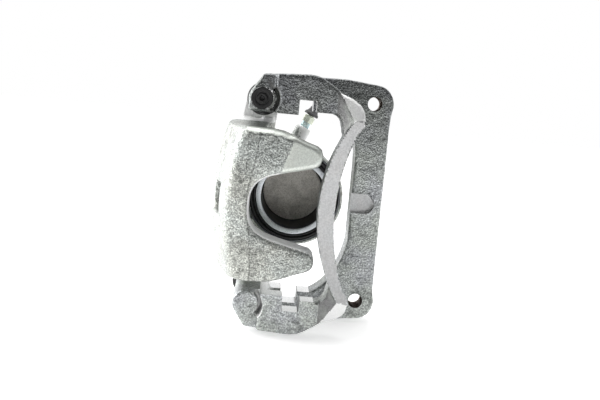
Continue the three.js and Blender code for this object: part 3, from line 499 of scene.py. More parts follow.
def housing_milled(f):
    """The fingers' pad faces, the bore and its rim, the lugs' faces and holes, the back and the hose port."""
    milled = f.across_y(FINGER_PAD_Y, 1) | f.across_y(CYLINDER_FACE_Y, -1)
    inside = f.round_y(piston_x, 0, 0, piston_radius + 6.6 * MM)
    milled |= inside & (f.y > CYLINDER_FACE_Y - 4.1 * MM) & (f.y < BORE_BOTTOM_Y + 0.5 * MM)
    milled |= (f.across_y(LUG_FACE_Y, -1) | f.across_y(lug_back_y, 1)) & (np.abs(f.z) > 54 * MM)
    milled |= f.across_y(housing_high.y, 1)
    for z in (pin_z, -pin_z):
        milled |= f.round_y(pin_x, z, 0, LUG_HOLE_RADIUS + 0.3 * MM)
    milled |= f.round_y(PORT_X, PORT_Z, 0, PORT_RADIUS + 0.1 * MM)
    return milled


def fettled_and_lit_housing(f):
    """The window's walls between the fingers, and the bleeder's boss, whose brighter fettled finish is
    painted light.
    """
    from_foot = np.stack([f.x - bleeder_foot.x, f.y - bleeder_foot.y, f.z - bleeder_foot.z], 1)
    along = from_foot @ np.array(bleeder_axis)
    off_axis = np.linalg.norm(from_foot - along[:, None] * np.array(bleeder_axis), axis=1)
    boss = (off_axis < BLEEDER_BOSS_RADIUS + 0.2 * MM) & (along > BLEEDER_BOSS_END - 10 * MM)
    front = f.y < FINGER_PAD_Y - 0.1 * MM
    window = front & (np.abs(f.ny) < 0.2) & (np.abs(f.z) < 30 * MM) & (f.x > STEP_X + 1 * MM)
    return boss | window


def even_net(node, size):
    """The CAD node as points and four-sided faces of about this size."""
    mesh = frame["nodes"][node].data.copy()
    bm = bmesh.new()
    bm.from_mesh(mesh)
    bmesh.ops.remove_doubles(bm, verts=bm.verts, dist=1e-6)
    bmesh.ops.triangulate(bm, faces=bm.faces)
    bm.to_mesh(mesh)
    bm.normal_update()
    surface = bvhtree.BVHTree.FromBMesh(bm)
    centres = np.array([f.calc_center_median() for f in bm.faces])
    normals = np.array([f.normal for f in bm.faces])
    edges = [
        (e.verts[0].co.copy(), e.verts[1].co.copy(), e.link_faces[0].index, e.link_faces[1].index)
        for e in bm.edges
        if len(e.link_faces) == 2 and e.calc_face_angle(0) > math.radians(24)
    ]
    bm.free()
    holder = bpy.data.objects.new("holder", mesh)
    bpy.context.scene.collection.objects.link(holder)
    remesh = holder.modifiers.new("net", "REMESH")
    remesh.mode = "VOXEL"
    remesh.voxel_size = size
    net = bpy.data.meshes.new_from_object(holder.evaluated_get(bpy.context.evaluated_depsgraph_get()))
    bpy.data.objects.remove(holder)
    return net, surface, centres, normals, edges


def points_along(edges, spacing):
    """A nearest-point search over points along these edges."""
    points = []
    for a, b, _, _ in edges:
        steps = max(1, math.ceil((b - a).length / spacing))
        points += [a.lerp(b, i / steps) for i in range(steps + 1)]
    tree = kdtree.KDTree(len(points))
    for i, point in enumerate(points):
        tree.insert(point, i)
    tree.balance()
    return tree


def rows(items, name, per_item, width, kind):
    """One property of a mesh's points, edges or corners, as rows of this width."""
    values = np.zeros(len(items) * per_item, kind)
    items.foreach_get(name, values)
    return values.reshape(-1, width)


def point_normals(co, quads):
    across = np.cross(co[quads[:, 2]] - co[quads[:, 0]], co[quads[:, 3]] - co[quads[:, 1]])
    normals = np.zeros_like(co)
    for axis in range(3):
        for corner in range(4):
            normals[:, axis] += np.bincount(quads[:, corner], across[:, axis], len(co))
    return normals / np.maximum(np.linalg.norm(normals, axis=1), 1e-12)[:, None]


def cast_relief(co):
    """How far a sand mould's surface lies under its tops, from 0 to 1, at each point."""
    shift = Vector((7, 0, 0))
    mixed = np.zeros(len(co))
    for size, share in ((14 * MM, 0.25), (5 * MM, 0.35), (2.3 * MM, 0.4)):
        mixed += share * np.array([noise.noise(Vector(p) / size + shift) for p in co])
    return np.clip(0.5 + 0.9 * mixed, 0, 1)


class Shape:
    """A casting's points while they are shaped: which may move, and what kind of face each lies on."""

    def __init__(self, co, kind, free, net_edges, cad_edges):
        self.co, self.kind, self.free = co, kind, free
        self.net_edges, self.cad_edges = net_edges, cad_edges
        self.degree = np.bincount(net_edges.ravel(), minlength=len(co))

    def neighbour_mean(self, values):
        first, second = self.net_edges.T
        total = np.zeros_like(values)
        for axis in range(values.shape[1]):
            total[:, axis] = np.bincount(first, values[second, axis], len(values))
            total[:, axis] += np.bincount(second, values[first, axis], len(values))
        return total / self.degree[:, None]

    def smooth(self, strength, rounds):
        """Draws each point towards its neighbours' mean, by its own strength."""
        for _ in range(rounds):
            self.co += strength[:, None] * (self.neighbour_mean(self.co) - self.co)

    def relief_depth(self, depth):
        """This depth on cast faces, easing off to nothing at machined ones."""
        depths = np.where(self.free & (self.kind == CAST), depth, 0.0)
        for _ in range(3):
            depths = np.where(self.free, self.neighbour_mean(depths[:, None])[:, 0], 0.0)
        return depths


CAST, FETTLED_AND_LIT, MILLED, GROOVE, RELIEF, SLOT, SLOPE = range(7)
CRISP_KINDS = (MILLED, RELIEF, SLOT)
PULL = 0.6                              # strength of one round of smoothing
SNAP_REACH = 0.7                        # points this near a machined edge go onto it, in net sizes
EDGE_SPACING = 0.12 * MM
SHARP_ANGLE = math.radians(38)


def casting(node, body, size, tests, materials, rounding, depth, reshape, painted_line=None):
    """A CAD casting with rounded rough faces where it is cast and true crisp ones where it is machined."""
    net, surface, centres, normals, edges = even_net(node, size)
    faces = Faces(centres, normals)
    face_kind = np.zeros(len(centres), int)
    for wanted, test in tests:
        face_kind[test(faces) & (face_kind == 0)] = wanted
    crisp_face = np.isin(face_kind, CRISP_KINDS)
    co = rows(net.vertices, "co", 3, 3, float)
    quads = rows(net.loops, "vertex_index", 1, 4, np.int64)
    net_edges = rows(net.edges, "vertices", 2, 2, np.int64)

    nearest = [surface.find_nearest(Vector(p)) for p in co]
    face = np.array([n[2] for n in nearest])
    pinned = crisp_face[face]
    co[pinned] = np.array([n[0] for n in nearest])[pinned]
    crisp = points_along([e for e in edges if crisp_face[e[2]] or crisp_face[e[3]]], EDGE_SPACING)
    for i in range(len(co)):
        point, _, distance = crisp.find(co[i])
        if distance < SNAP_REACH * size:
            co[i] = point
            pinned[i] = True

    shape = Shape(co, face_kind[face], ~pinned, net_edges, edges)
    shape.smooth(np.where(shape.free, PULL, 0.0), rounding)
    reshape(shape)
    depths = shape.relief_depth(depth)
    relief = cast_relief(co)
    co -= point_normals(co, quads) * (depths * (1 - relief))[:, None]

    low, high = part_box(node)
    co = np.clip(co, np.array(low), np.array(high))
    net.vertices.foreach_set("co", co.ravel())
    net.update()
    net.materials.clear()
    for material in materials:
        net.materials.append(material)
    kinds = np.sort(shape.kind[quads], axis=1)[:, 1]
    net.polygons.foreach_set("material_index", kinds.astype(np.int32))
    # Painted shade: the tops attribute darkens the colour in the relief's pits, and the painted line along
    # the crease is set to full dark.
    tops = relief if painted_line is None else np.where(painted_line(co), 0.0, relief)
    net.attributes.new("tops", "FLOAT", "POINT").data.foreach_set("value", tops)
    piece = bpy.data.objects.new(node + "_casting", net)
    bpy.context.scene.collection.objects.link(piece)
    net.polygons.foreach_set("use_smooth", np.ones(len(net.polygons), bool))
    net.set_sharp_from_angle(angle=SHARP_ANGLE)
    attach(piece, body)
    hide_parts(node)
    return piece


def darken_the_upper_boss(shape):
    """The upper boss's end, between its bore and the groove, takes the groove's near-black material: painted
    shade.
    """
    x, z = shape.co[:, 0] - pin_x, shape.co[:, 2] - pin_z
    radius = np.hypot(x, z)
    angle = np.degrees(np.arctan2(z, x))
    end = (shape.co[:, 1] < BOSS_END_Y + 0.5 * MM) & (radius > 6.9 * MM) & (radius < 9.4 * MM)
    shape.kind[end & (angle < 40) & (angle > -60)] = GROOVE


def shape_the_front(shape):
    """The fingers' front edges are rounded more than the rest of the housing, and the front is finished."""
    near = shape.free & (shape.co[:, 1] < FINGER_PAD_Y - 6 * MM)
    rim_corner = np.clip((SLOPE_START_X - 4 * MM - shape.co[:, 0]) / (14 * MM), 0, 1)
    for strength, rounds in ((np.where(near, PULL, 0.0), 20), (np.where(near, PULL * rim_corner, 0.0), 60)):
        shape.smooth(strength, rounds)
    step_at_the_crease(shape)
    chamfer_the_top(shape)
    spot_face(shape)
    x, y, z = shape.co.T
    # Painted light: only the upper lug takes the brighter fettled finish, while the lower lug keeps the cast
    # finish.
    upper_lug = (z > 50.5 * MM) & (y > -6 * MM) & (y < LUG_FACE_Y + 1 * MM)
    shape.kind[upper_lug] = FETTLED_AND_LIT


CREASE_BOW = 5.6 * MM
CREASE_ROOT_Z = 3.6 * MM
CREASE_WIDTH = 25 * MM


def crease_at(co):
    """How far each point lies on the hub side of the crease that bows round the window's root."""
    bow = 1 - np.exp(-(((co[:, 2] - CREASE_ROOT_Z) / CREASE_WIDTH) ** 2))
    return co[:, 0] - (STEP_X + CREASE_BOW * bow)


def painted_crease_shade(co):
    """The thin line on the crease's hub side, painted shade that stands in for a groove too fine for the net.
    """
    beyond = crease_at(co)
    return (co[:, 1] < housing_low.y + 2 * MM) & (beyond > 0.1 * MM) & (beyond < 0.9 * MM)


def step_at_the_crease(shape):
    """The front slopes away on the rim side of the crease, and starts with a shallow dip on its hub side."""
    dip_depth, dip_reach, dip_edge, step_width = 0.4 * MM, 8 * MM, 1.4 * MM, 3 * MM
    x, y = shape.co[:, 0], shape.co[:, 1]
    beyond = crease_at(shape.co)
    past_step = np.clip((STEP_X + step_width / 2 - x) / step_width, 0, 1)
    slope = FRONT_FALL * (np.clip(-beyond, 0, None) - np.clip(SLOPE_START_X - x, 0, None) * past_step)
    dip = dip_depth * np.exp(-beyond / dip_reach) * np.clip(beyond / dip_edge, 0, 1)
    fade = np.clip((housing_low.y + 9 * MM - y) / (6 * MM), 0, 1)
    shape.co[:, 1] += np.where(beyond > 0, slope + dip, slope) * fade


SPOT_LOW_END = Vector((-61.9, 0, 21.7)) * MM
SPOT_HIGH_END = Vector((-55.4, 0, 41.5)) * MM


def beyond_the_spot_face(co):
    """How far each point lies inside the milled tip of the upper finger."""
    along = (SPOT_HIGH_END - SPOT_LOW_END).normalized()
    return (co[:, 0] - SPOT_LOW_END.x) * along.z - (co[:, 2] - SPOT_LOW_END.z) * along.x


def chamfer_the_top(shape):
    """A broad smooth chamfer along the front's upper edge, which runs out at the milled tip."""
    width, reach, fall, run_out_length, margin = 3.8 * MM, 9 * MM, 0.8, 4 * MM, 0.5 * MM
    upper_front = [
        e for e in shape.cad_edges
        if max(e[0].y, e[1].y) < housing_low.y + 0.1 * MM and min(e[0].z, e[1].z) > 30 * MM
    ]
    outline = points_along(upper_front, 0.25 * MM)
    co = shape.co
    run_out = np.clip(-beyond_the_spot_face(co) / run_out_length, 0, 1)
    near = (co[:, 1] < housing_low.y + reach) & (co[:, 2] > 28 * MM) & (run_out > 0)
    for i in np.flatnonzero(near):
        _, _, distance = outline.find((co[i, 0], housing_low.y, co[i, 2]))
        ease = 1 - (co[i, 1] - housing_low.y) / reach
        co[i, 1] += max(0.0, width - distance) * fall * ease * run_out[i]
        if distance < width - margin and co[i, 0] > SLOPE_START_X - 12 * MM:
            shape.kind[i] = MILLED


def spot_face(shape):
    """The upper finger's tip is milled a little under the cast face."""
    co = shape.co
    inside = beyond_the_spot_face(co)
    tip = (inside > 0) & (co[:, 2] > 0)
    milled = tip & (co[:, 1] < housing_low.y + 1.4 * MM)
    depth = np.clip(inside / (0.9 * MM), 0, 1) * 0.4 * MM
    co[milled, 1] = np.maximum(co[milled, 1], housing_low.y + depth[milled])
    shape.kind[tip & (co[:, 1] < housing_low.y + 3.5 * MM)] = MILLED


casting(
    "carrier_bracket", "carrier", 0.78 * MM,
    ((RELIEF, bracket_relief), (SLOT, bracket_slots), (MILLED, bracket_milled), (SLOPE, bracket_slopes),
     (FETTLED_AND_LIT, bracket_fettled), (GROOVE, bracket_grooves)),
    [BRACKET_CAST, BRACKET_SMOOTH, BRACKET_MILLED, SHADED_BRACKET_GROOVE, BRACKET_RELIEF, BRACKET_SLOT,
     SHADED_BRACKET_SLOPE],
    rounding=12, depth=0.35 * MM, reshape=darken_the_upper_boss,
)
casting(
    "caliper_housing", "housing", 0.85 * MM,
    ((MILLED, housing_milled), (FETTLED_AND_LIT, fettled_and_lit_housing)), [HOUSING_CAST, HOUSING_SMOOTH, HOUSING_MILLED],
    rounding=14, depth=0.42 * MM, reshape=shape_the_front, painted_line=painted_crease_shade,
)


# ---------------------------------------------------------------- turned and moulded pieces
def skin(name, profile, sides, materials, kinds=None, place=None, closed=False):
    """A surface round the Y axis. Each row is (y, radius), where radius is a number or a function of the
    angle. A row of radius 0 closes the surface on the axis. With closed, the last row joins the first.
    """
    bm = bmesh.new()
    rings = []
    for y, radius in profile:
        if radius == 0:
            rings.append([bm.verts.new((0, y, 0))])
            continue
        ring = []
        for i in range(sides):
            angle = TAU * i / sides
            r = radius(angle) if callable(radius) else radius
            ring.append(bm.verts.new((r * math.cos(angle), y, r * math.sin(angle))))
        rings.append(ring)
    pairs = list(zip(rings, rings[1:] + rings[:1])) if closed else list(zip(rings, rings[1:]))
    for k, (a, b) in enumerate(pairs):
        for i in range(sides):
            j = (i + 1) % sides
            if len(a) == 1:
                corners = [a[0], b[j], b[i]]
            elif len(b) == 1:
                corners = [a[i], a[j], b[0]]
            else:
                corners = [a[i], a[j], b[j], b[i]]
            made = bm.faces.new(corners)
            made.smooth = True
            made.material_index = kinds[k] if kinds else 0
    bmesh.ops.recalc_face_normals(bm, faces=bm.faces)
    mesh = bpy.data.meshes.new(name)
    bm.to_mesh(mesh)
    bm.free()
    mesh.set_sharp_from_angle(angle=math.radians(32))
    for material in materials:
        mesh.materials.append(material)
    if place is not None:
        mesh.transform(place)
    piece = bpy.data.objects.new(name, mesh)
    bpy.context.scene.collection.objects.link(piece)
    return piece


def rounded(points, radius, steps=4):
    """A profile of (y, r) points with its corners rounded, but not its ends."""
    made = [points[0]]
    for before, corner, after in zip(points, points[1:], points[2:]):
        c = Vector(corner)
        to_before = Vector(before) - c
        to_after = Vector(after) - c
        reach = min(radius, to_before.length * 0.45, to_after.length * 0.45)
        start = c + to_before.normalized() * reach
        end = c + to_after.normalized() * reach
        for i in range(steps + 1):
            t = i / steps
            made.append(tuple((1 - t) ** 2 * start + 2 * t * (1 - t) * c + t * t * end))
    made.append(points[-1])
    return made


def hexagon(across_corners, cap=None, turn=0.0):
    """A hexagon's radius at each angle; cap cuts its corners to a circle, as a chamfer does."""
    flat = across_corners * math.cos(math.pi / 6)

    def radius(angle):
        local = (angle - turn) % (math.pi / 3) - math.pi / 6
        full = flat / math.cos(local)
        return min(full, cap) if cap is not None else full

    return radius


def on_y(x, z):
    """Puts a turned piece on an axis along Y."""
    return Matrix.Translation((x, 0, z))


def on_bleeder():
    """Puts a turned piece on the bleeder's axis, from its foot."""
    turn = Vector((0, 1, 0)).rotation_difference(bleeder_axis).to_matrix().to_4x4()
    return Matrix.Translation(bleeder_foot) @ turn


def finish_piece(piece, body, slot, *nodes):
    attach(piece, body)
    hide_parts(*nodes)
    return piece


def thread_rows(radius, depth, pitch, y0, y1):
    """Rows of a helical thread: each radius depends on the angle, so the crest climbs by one pitch a turn."""
    per_pitch = 6
    count = max(2, round((y1 - y0) / pitch * per_pitch))
    made = []
    for i in range(count + 1):
        y = y0 + (y1 - y0) * i / count
        ease = min(1.0, i / per_pitch, (count - i) / per_pitch)

        def at(angle, y=y, ease=ease):
            phase = (y / pitch - angle / TAU) % 1
            return radius - depth * ease * abs(2 * phase - 1)

        made.append((y, at))
    return made


def piston_piece():
    """Hollow piston: ground rim and wall outside, dull drawn cup inside, whose inner wall takes a near-black
    copy of the cup's finish as painted shade.
    """
    rim, end = piston_low.y, piston_high.y
    cup = piston_radius - 3.6 * MM
    groove = piston_radius - 1.8 * MM
    floor = end - 6.5 * MM
    outside = rounded([
        (end, 0.4 * piston_radius), (end, piston_radius - 2.5 * MM), (end - 2.5 * MM, piston_radius),
        (rim + 8.6 * MM, piston_radius), (rim + 5.4 * MM, piston_radius), (rim + 5.4 * MM, groove),
        (rim + 2.8 * MM, groove), (rim + 2.8 * MM, piston_radius), (rim, piston_radius),
        (rim, cup), (rim + 1.0 * MM, cup),
    ], 0.5 * MM)
    inside = rounded([
        (rim + 1.2 * MM, cup - 0.05 * MM), (floor, cup - 0.6 * MM), (floor, 0.2 * piston_radius),
    ], 2.6 * MM, 6)
    bowl = [(floor + 0.3 * MM, 0.1 * piston_radius), (floor + 0.35 * MM, 0)]
    profile = [(end, 0), *outside, *inside, *bowl]
    wall_start = len(outside) + 1
    floor_start = wall_start + 4
    kinds = [0 if k < wall_start else (1 if k < floor_start else 2) for k in range(len(profile) - 1)]
    piece = skin("piston_body", profile, 128, [PISTON_RIM, SHADED_CUP_WALL, CUP_FLOOR], kinds, on_y(piston_x, 0))
    return finish_piece(piece, "piston", "piston_steel", "piston")


def dust_boot():
    """The rolled boot from its bead in the housing's pocket to its lip in the piston's groove."""
    bead = dust_high.x - piston_x
    back = dust_high.y
    front = dust_low.y
    r = piston_radius
    profile = rounded([
        (back, bead - 1.2 * MM), (back, bead), (back - 2.3 * MM, bead), (back - 2.3 * MM, r + 4.6 * MM),
        (front + 0.2 * MM, r + 4.2 * MM), (front + 0.2 * MM, r + 2.7 * MM), (front + 2.2 * MM, r + 2.4 * MM),
        (front + 2.2 * MM, r + 1.8 * MM), (front, r + 1.5 * MM), (front, r + 0.4 * MM),
        (front + 1.9 * MM, r + 0.35 * MM), (front + 2.2 * MM, r - 1.4 * MM), (front + 4.4 * MM, r - 1.4 * MM),
        (front + 4.4 * MM, r + 1.1 * MM), (front + 3.6 * MM, r + 2.6 * MM), (front + 1.6 * MM, r + 3.2 * MM),
        (front + 1.6 * MM, r + 3.6 * MM), (back - 1.2 * MM, r + 3.8 * MM), (back, r + 4.0 * MM),
    ], 0.35 * MM, 3)
    piece = skin("piston_dust_boot", profile, 128, [BLACK_RUBBER], None, on_y(piston_x, 0), closed=True)
    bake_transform(piece)
    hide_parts("piston_boot")
    return piece


def ring_piece(name, node, slot, material, width, corner):
    """A plain ring with rounded corners that fills its CAD node's box."""
    low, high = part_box(node)
    outer = high.x - piston_x
    inner = outer - width
    middle = (low.y + high.y) / 2
    profile = rounded([
        (middle, inner), (low.y, inner), (low.y, outer), (high.y, outer), (high.y, inner), (middle, inner),
    ], corner, 3)[:-1]
    piece = skin(name, profile, 96, [material], None, on_y(piston_x, 0), closed=True)
    return finish_piece(piece, "housing", slot, node)


def guide_pin(side, label):
    """Hex-headed guide pin, ground, with a necked tip on the upper one for its bushing."""
    low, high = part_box(label + "_guide_pin")
    hex_corner = (high.x - low.x) / 2
    radius = 5.9 * MM
    hex_y = high.y - 4.7 * MM
    neck = 4.2 * MM
    tip = (
        [(low.y, 0), (low.y, neck - 0.4 * MM), (low.y + 0.4 * MM, neck), (low.y + 15 * MM, neck),
         (low.y + 15 * MM, radius - 0.3 * MM), (low.y + 15.3 * MM, radius)]
        if side > 0
        else [(low.y, 0), (low.y, radius - 1.5 * MM), (low.y + 1.5 * MM, radius)]
    )
    groove = [
        (hex_y - 4.2 * MM, radius), (hex_y - 4.0 * MM, radius - 0.5 * MM),
        (hex_y - 1.4 * MM, radius - 0.5 * MM), (hex_y - 1.2 * MM, radius),
    ]
    head = [
        (hex_y, radius), (hex_y, hexagon(hex_corner, hex_corner * 0.9)),
        (hex_y + 0.5 * MM, hexagon(hex_corner)), (high.y - 0.5 * MM, hexagon(hex_corner)),
        (high.y, hexagon(hex_corner, hex_corner * 0.9)), (high.y, 4.2 * MM),
        (high.y - 24 * MM, 4.0 * MM), (high.y - 26 * MM, 0),
    ]
    piece = skin(label + "_guide_pin_turned", tip + groove + head, 96, [PLATED_STEEL], None,
                 on_y(pin_x, side * pin_z))
    return finish_piece(piece, "housing", "zinc_plated_steel", label + "_guide_pin")


def pin_bellows(side, label):
    """Rubber bellows from the bracket's spigot to the pin's neck, with a cuff at each end."""
    low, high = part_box(label + "_pin_boot")
    crest = (high.x - low.x) / 2
    wall = 1.2 * MM
    cuff = SPIGOT_RADIUS + 1.7 * MM
    valley = SPIGOT_RADIUS + 0.9 * MM
    y0 = low.y
    outside = [
        (y0, cuff), (y0 + 0.9 * MM, cuff + 0.3 * MM), (y0 + 1.8 * MM, cuff), (y0 + 4.6 * MM, cuff),
        (y0 + 5.4 * MM, valley), (y0 + 7.2 * MM, crest), (y0 + 9.0 * MM, valley),
        (high.y - 2.6 * MM, crest), (high.y - 1.4 * MM, 8.2 * MM), (high.y, 7.5 * MM),
    ]
    inside = [(y, r - wall) for y, r in reversed(outside)]
    profile = rounded(outside + inside, 0.6 * MM, 3)
    z = side * pin_z
    piece = skin(label + "_pin_bellows", profile, 96, [BLACK_RUBBER], None, on_y(pin_x, z), closed=True)
    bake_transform(piece)
    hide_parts(label + "_pin_boot")
    return piece


def pin_bolt(side, label):
    """Flanged hex bolt with a chamfered head and a rolled thread on its shank."""
    low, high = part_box(label + "_pin_bolt")
    flange = (high.x - low.x) / 2
    seat = high.y - 8 * MM
    corner = 7.5 * MM
    top = high.y
    shank = 3.7 * MM
    thread = thread_rows(shank, 0.5 * MM, 1.25 * MM, low.y + 1 * MM, seat - 8 * MM)
    profile = [
        (low.y, 0), (low.y, shank - 0.9 * MM), *thread, (seat - 7 * MM, shank), (seat, shank),
        (seat, flange - 0.4 * MM), (seat + 0.4 * MM, flange), (seat + 1.2 * MM, flange),
        (seat + 2.0 * MM, corner + 0.5 * MM), (seat + 2.05 * MM, hexagon(corner)),
        (top - 1.3 * MM, hexagon(corner)), (top - 0.9 * MM, hexagon(corner, corner * 0.975)),
        (top - 0.5 * MM, hexagon(corner, corner * 0.94)), (top - 0.15 * MM, hexagon(corner, corner * 0.9)),
        (top, corner * 0.84), (top, corner * 0.45), (top - 0.5 * MM, corner * 0.4), (top - 0.5 * MM, 0),
    ]
    piece = skin(label + "_pin_bolt_head", profile, 96, [PLATED_STEEL], None, on_y(pin_x, side * pin_z))
    return finish_piece(piece, "housing", "zinc_plated_steel", label + "_pin_bolt")


def pin_bushing():
    """Rubber bushing with shallow grooves round it."""
    outer = (bushing_high.x - bushing_low.x) / 2
    inner = 4.6 * MM
    profile = [(bushing_low.y, inner)]
    grooves = 4
    step = (bushing_high.y - bushing_low.y) / grooves
    for k in range(grooves):
        y = bushing_low.y + k * step
        profile += [(y + 0.02 * step, outer - 0.3 * MM), (y + 0.2 * step, outer), (y + 0.75 * step, outer),
                    (y + 0.9 * step, outer - 0.3 * MM)]
    profile += [(bushing_high.y, outer - 0.4 * MM), (bushing_high.y, inner)]
    place = on_y(pin_x, pin_z)
    piece = skin("guide_pin_bushing_ribbed", profile, 64, [BLACK_RUBBER], None, place, closed=True)
    return finish_piece(piece, "housing", "black_rubber", "guide_pin_bushing")


def bore_plug():
    """Moulded plug in the upper boss: a raised ring round a small dimple."""
    radius = (plug_high.x - plug_low.x) / 2
    face = plug_low.y
    lip = rounded([
        (plug_high.y - 0.6 * MM, radius - 0.8 * MM), (plug_high.y - 1.6 * MM, radius),
        (face + 1.4 * MM, radius), (face + 0.5 * MM, radius + 0.85 * MM),
        (face + 0.2 * MM, radius + 0.7 * MM), (face + 0.2 * MM, radius - 1.3 * MM),
        (face + 0.7 * MM, radius - 1.8 * MM), (face + 0.7 * MM, 3.4 * MM), (face + 0.1 * MM, 3.0 * MM),
        (face, 2.4 * MM), (face + 0.2 * MM, 1.7 * MM), (face + 1.5 * MM, 1.3 * MM),
        (face + 1.7 * MM, 0.5 * MM),
    ], 0.3 * MM, 4)
    profile = [(plug_high.y, 0), (plug_high.y, radius - 1.6 * MM), *lip, (face + 1.7 * MM, 0)]
    piece = skin("guide_bore_rubber_plug", profile, 96, [PLUG_RUBBER], None, on_y(pin_x, pin_z))
    return finish_piece(piece, "carrier", "black_rubber", "guide_bore_plug")


def bleeder():
    """Bleeder screw: threaded shank, hexagon, and the barbed nipple under its cap."""
    foot = 31 * MM
    shank = BLEEDER_BOSS_END
    hex_bottom = shank + 3.5 * MM
    hex_top = hex_bottom + 5 * MM
    corner = 4.5 * MM
    thread = thread_rows(3.5 * MM, 0.35 * MM, 1.0 * MM, foot + 3 * MM, shank + 1.2 * MM)
    profile = [
        (foot, 0), (foot, 1.2 * MM), (foot + 2.4 * MM, 3.0 * MM), *thread,
        (shank + 1.6 * MM, 3.3 * MM), (hex_bottom, 3.3 * MM), (hex_bottom, hexagon(corner, corner * 0.9)),
        (hex_bottom + 0.35 * MM, hexagon(corner)), (hex_top - 0.4 * MM, hexagon(corner)),
        (hex_top, hexagon(corner, corner * 0.9)), (hex_top, 3.0 * MM), (hex_top + 0.9 * MM, 2.9 * MM),
        (hex_top + 2.3 * MM, 2.3 * MM), (hex_top + 4.9 * MM, 2.75 * MM), (hex_top + 5.4 * MM, 2.8 * MM),
        (hex_top + 7.0 * MM, 2.0 * MM), (hex_top + 7.0 * MM, 0.9 * MM), (hex_top + 1 * MM, 0.85 * MM),
        (hex_top + 1 * MM, 0),
    ]
    last_thread = 3 + len(thread)
    kinds = [1 if 3 <= k <= last_thread else 0 for k in range(len(profile) - 1)]
    piece = skin("bleeder_screw_turned", profile, 72, [NIPPLE_STEEL, BLUE_STEEL], kinds, on_bleeder())
    return finish_piece(piece, "bleeder_screw", "zinc_plated_steel", "bleeder_screw")


def dust_cap():
    """Conical rubber cap with a rounded skirt."""
    base = BLEEDER_BOSS_END + 9.5 * MM
    outer = 5.5 * MM
    inside = 3.25 * MM
    cone = rounded([
        (base + 11.35 * MM, 0.35 * MM), (base + 10.9 * MM, 0.9 * MM), (base + 9.2 * MM, 1.4 * MM),
        (base + 2.7 * MM, outer - 1.3 * MM), (base + 2.2 * MM, outer - 0.6 * MM), (base + 1.3 * MM, outer),
        (base, outer), (base, inside + 0.5 * MM), (base + 1.0 * MM, inside), (base + 6.4 * MM, inside),
        (base + 7.0 * MM, 0.8 * MM),
    ], 0.4 * MM, 4)
    profile = [(base + 11.4 * MM, 0), *cone, (base + 7.0 * MM, 0)]
    piece = skin("bleeder_dust_cap", profile, 80, [CAP_RUBBER], None, on_bleeder())
    return finish_piece(piece, "bleeder_cap", "grey_rubber", "bleeder_cap")


def tapped_sleeve(name, x, z, radius, depth, pitch, y0, y1, body):
    """The thread inside a tapped hole, as a thin sleeve set in the hole's wall."""
    outer = radius + 0.25 * MM
    start, end = y0 + 0.3 * MM, y1 - 0.3 * MM
    thread = thread_rows(radius - 0.02 * MM, depth, pitch, start, end)
    profile = [(end, outer), *reversed(thread), (start, outer)]
    piece = skin(name, profile, 72, [TAPPED_HOLE], None, on_y(x, z), closed=True)
    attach(piece, body)
    return piece


piston_piece()
dust_boot()
ring_piece("boot_clamp_ring", "boot_retaining_ring", "spring_steel", SPRING_STEEL, 1.0 * MM, 0.35 * MM)
ring_piece("piston_square_seal", "piston_seal", "black_rubber", BLACK_RUBBER, 3.0 * MM, 0.3 * MM)
for end, tag in ((1, "upper"), (-1, "lower")):
    guide_pin(end, tag)
    pin_bellows(end, tag)
    pin_bolt(end, tag)
    tapped_sleeve(tag + "_mounting_thread", 0, end * BOLT_Z, BOLT_HOLE_RADIUS, 0.35 * MM, 1.25 * MM,
                  -PLATE_THICKNESS, 0, "carrier")
pin_bushing()
bore_plug()
bleeder()
dust_cap()


# ---------------------------------------------------------------- floor, light and world
def paper_floor():
    """A pale floor that the lower boss just touches, far wider than the view."""
    reach = 6
    height = bracket_low.z - 0.3 * MM
    mesh = bpy.data.meshes.new("floor")
    corners = [(x * reach, y * reach, height) for x, y in ((-1, -1), (1, -1), (1, 1), (-1, 1))]
    mesh.from_pydata(corners, [], [(0, 1, 2, 3)])
    mesh.materials.append(floor_paper("pale_floor"))
    floor = bpy.data.objects.new("floor", mesh)
    bpy.context.scene.collection.objects.link(floor)


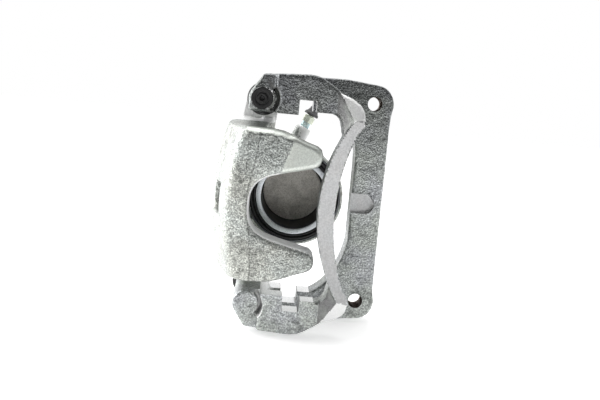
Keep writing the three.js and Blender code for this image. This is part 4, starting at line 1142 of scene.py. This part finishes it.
def softbox(name, place, aim, width, height, power):
    """A rectangular lamp that faces a point; its power is in watts."""
    data = bpy.data.lights.new(name, "AREA")
    data.shape = "RECTANGLE"
    data.size = width
    data.size_y = height
    data.energy = power
    lamp = bpy.data.objects.new(name, data)
    lamp.location = place
    lamp.rotation_mode = "QUATERNION"
    lamp.rotation_quaternion = (Vector(aim) - Vector(place)).to_track_quat("-Z", "Y")
    bpy.context.scene.collection.objects.link(lamp)


def studio_world():
    """A studio that is bright behind the object and dimmer on the side of the reference view."""
    world = bpy.data.worlds.new("studio")
    world.use_nodes = True
    bpy.context.scene.world = world
    nodes, links = world.node_tree.nodes, world.node_tree.links
    nodes.clear()
    direction = nodes.new("ShaderNodeTexCoord").outputs["Generated"]
    parts = nodes.new("ShaderNodeSeparateXYZ")
    links.new(direction, parts.inputs[0])
    brightness = nodes.new("ShaderNodeMapRange")
    brightness.interpolation_type = "SMOOTHSTEP"
    for socket, value in (("From Min", -0.7), ("From Max", 0.2), ("To Min", 0.04), ("To Max", 1.05)):
        brightness.inputs[socket].default_value = value
    links.new(parts.outputs["Y"], brightness.inputs["Value"])
    room = nodes.new("ShaderNodeBackground")
    room.inputs["Color"].default_value = (1, 1, 1, 1)
    links.new(brightness.outputs["Result"], room.inputs["Strength"])
    paper = nodes.new("ShaderNodeBackground")
    paper.inputs["Color"].default_value = (1, 1, 1, 1)
    paper.inputs["Strength"].default_value = 1.0
    rays = nodes.new("ShaderNodeLightPath")
    mix = nodes.new("ShaderNodeMixShader")
    links.new(rays.outputs["Is Camera Ray"], mix.inputs["Fac"])
    links.new(room.outputs[0], mix.inputs[1])
    links.new(paper.outputs[0], mix.inputs[2])
    out = nodes.new("ShaderNodeOutputWorld")
    links.new(mix.outputs[0], out.inputs["Surface"])


middle = (cad_box[0] + cad_box[1]) / 2
paper_floor()
softbox("key_left", (-1.05, 0.3, 0.4), middle, width=0.9, height=0.9, power=12)
softbox("top", (-0.2, 0.15, 1.2), middle, width=1.0, height=1.0, power=7)
studio_world()
bpy.context.scene.view_settings.view_transform = "Standard"
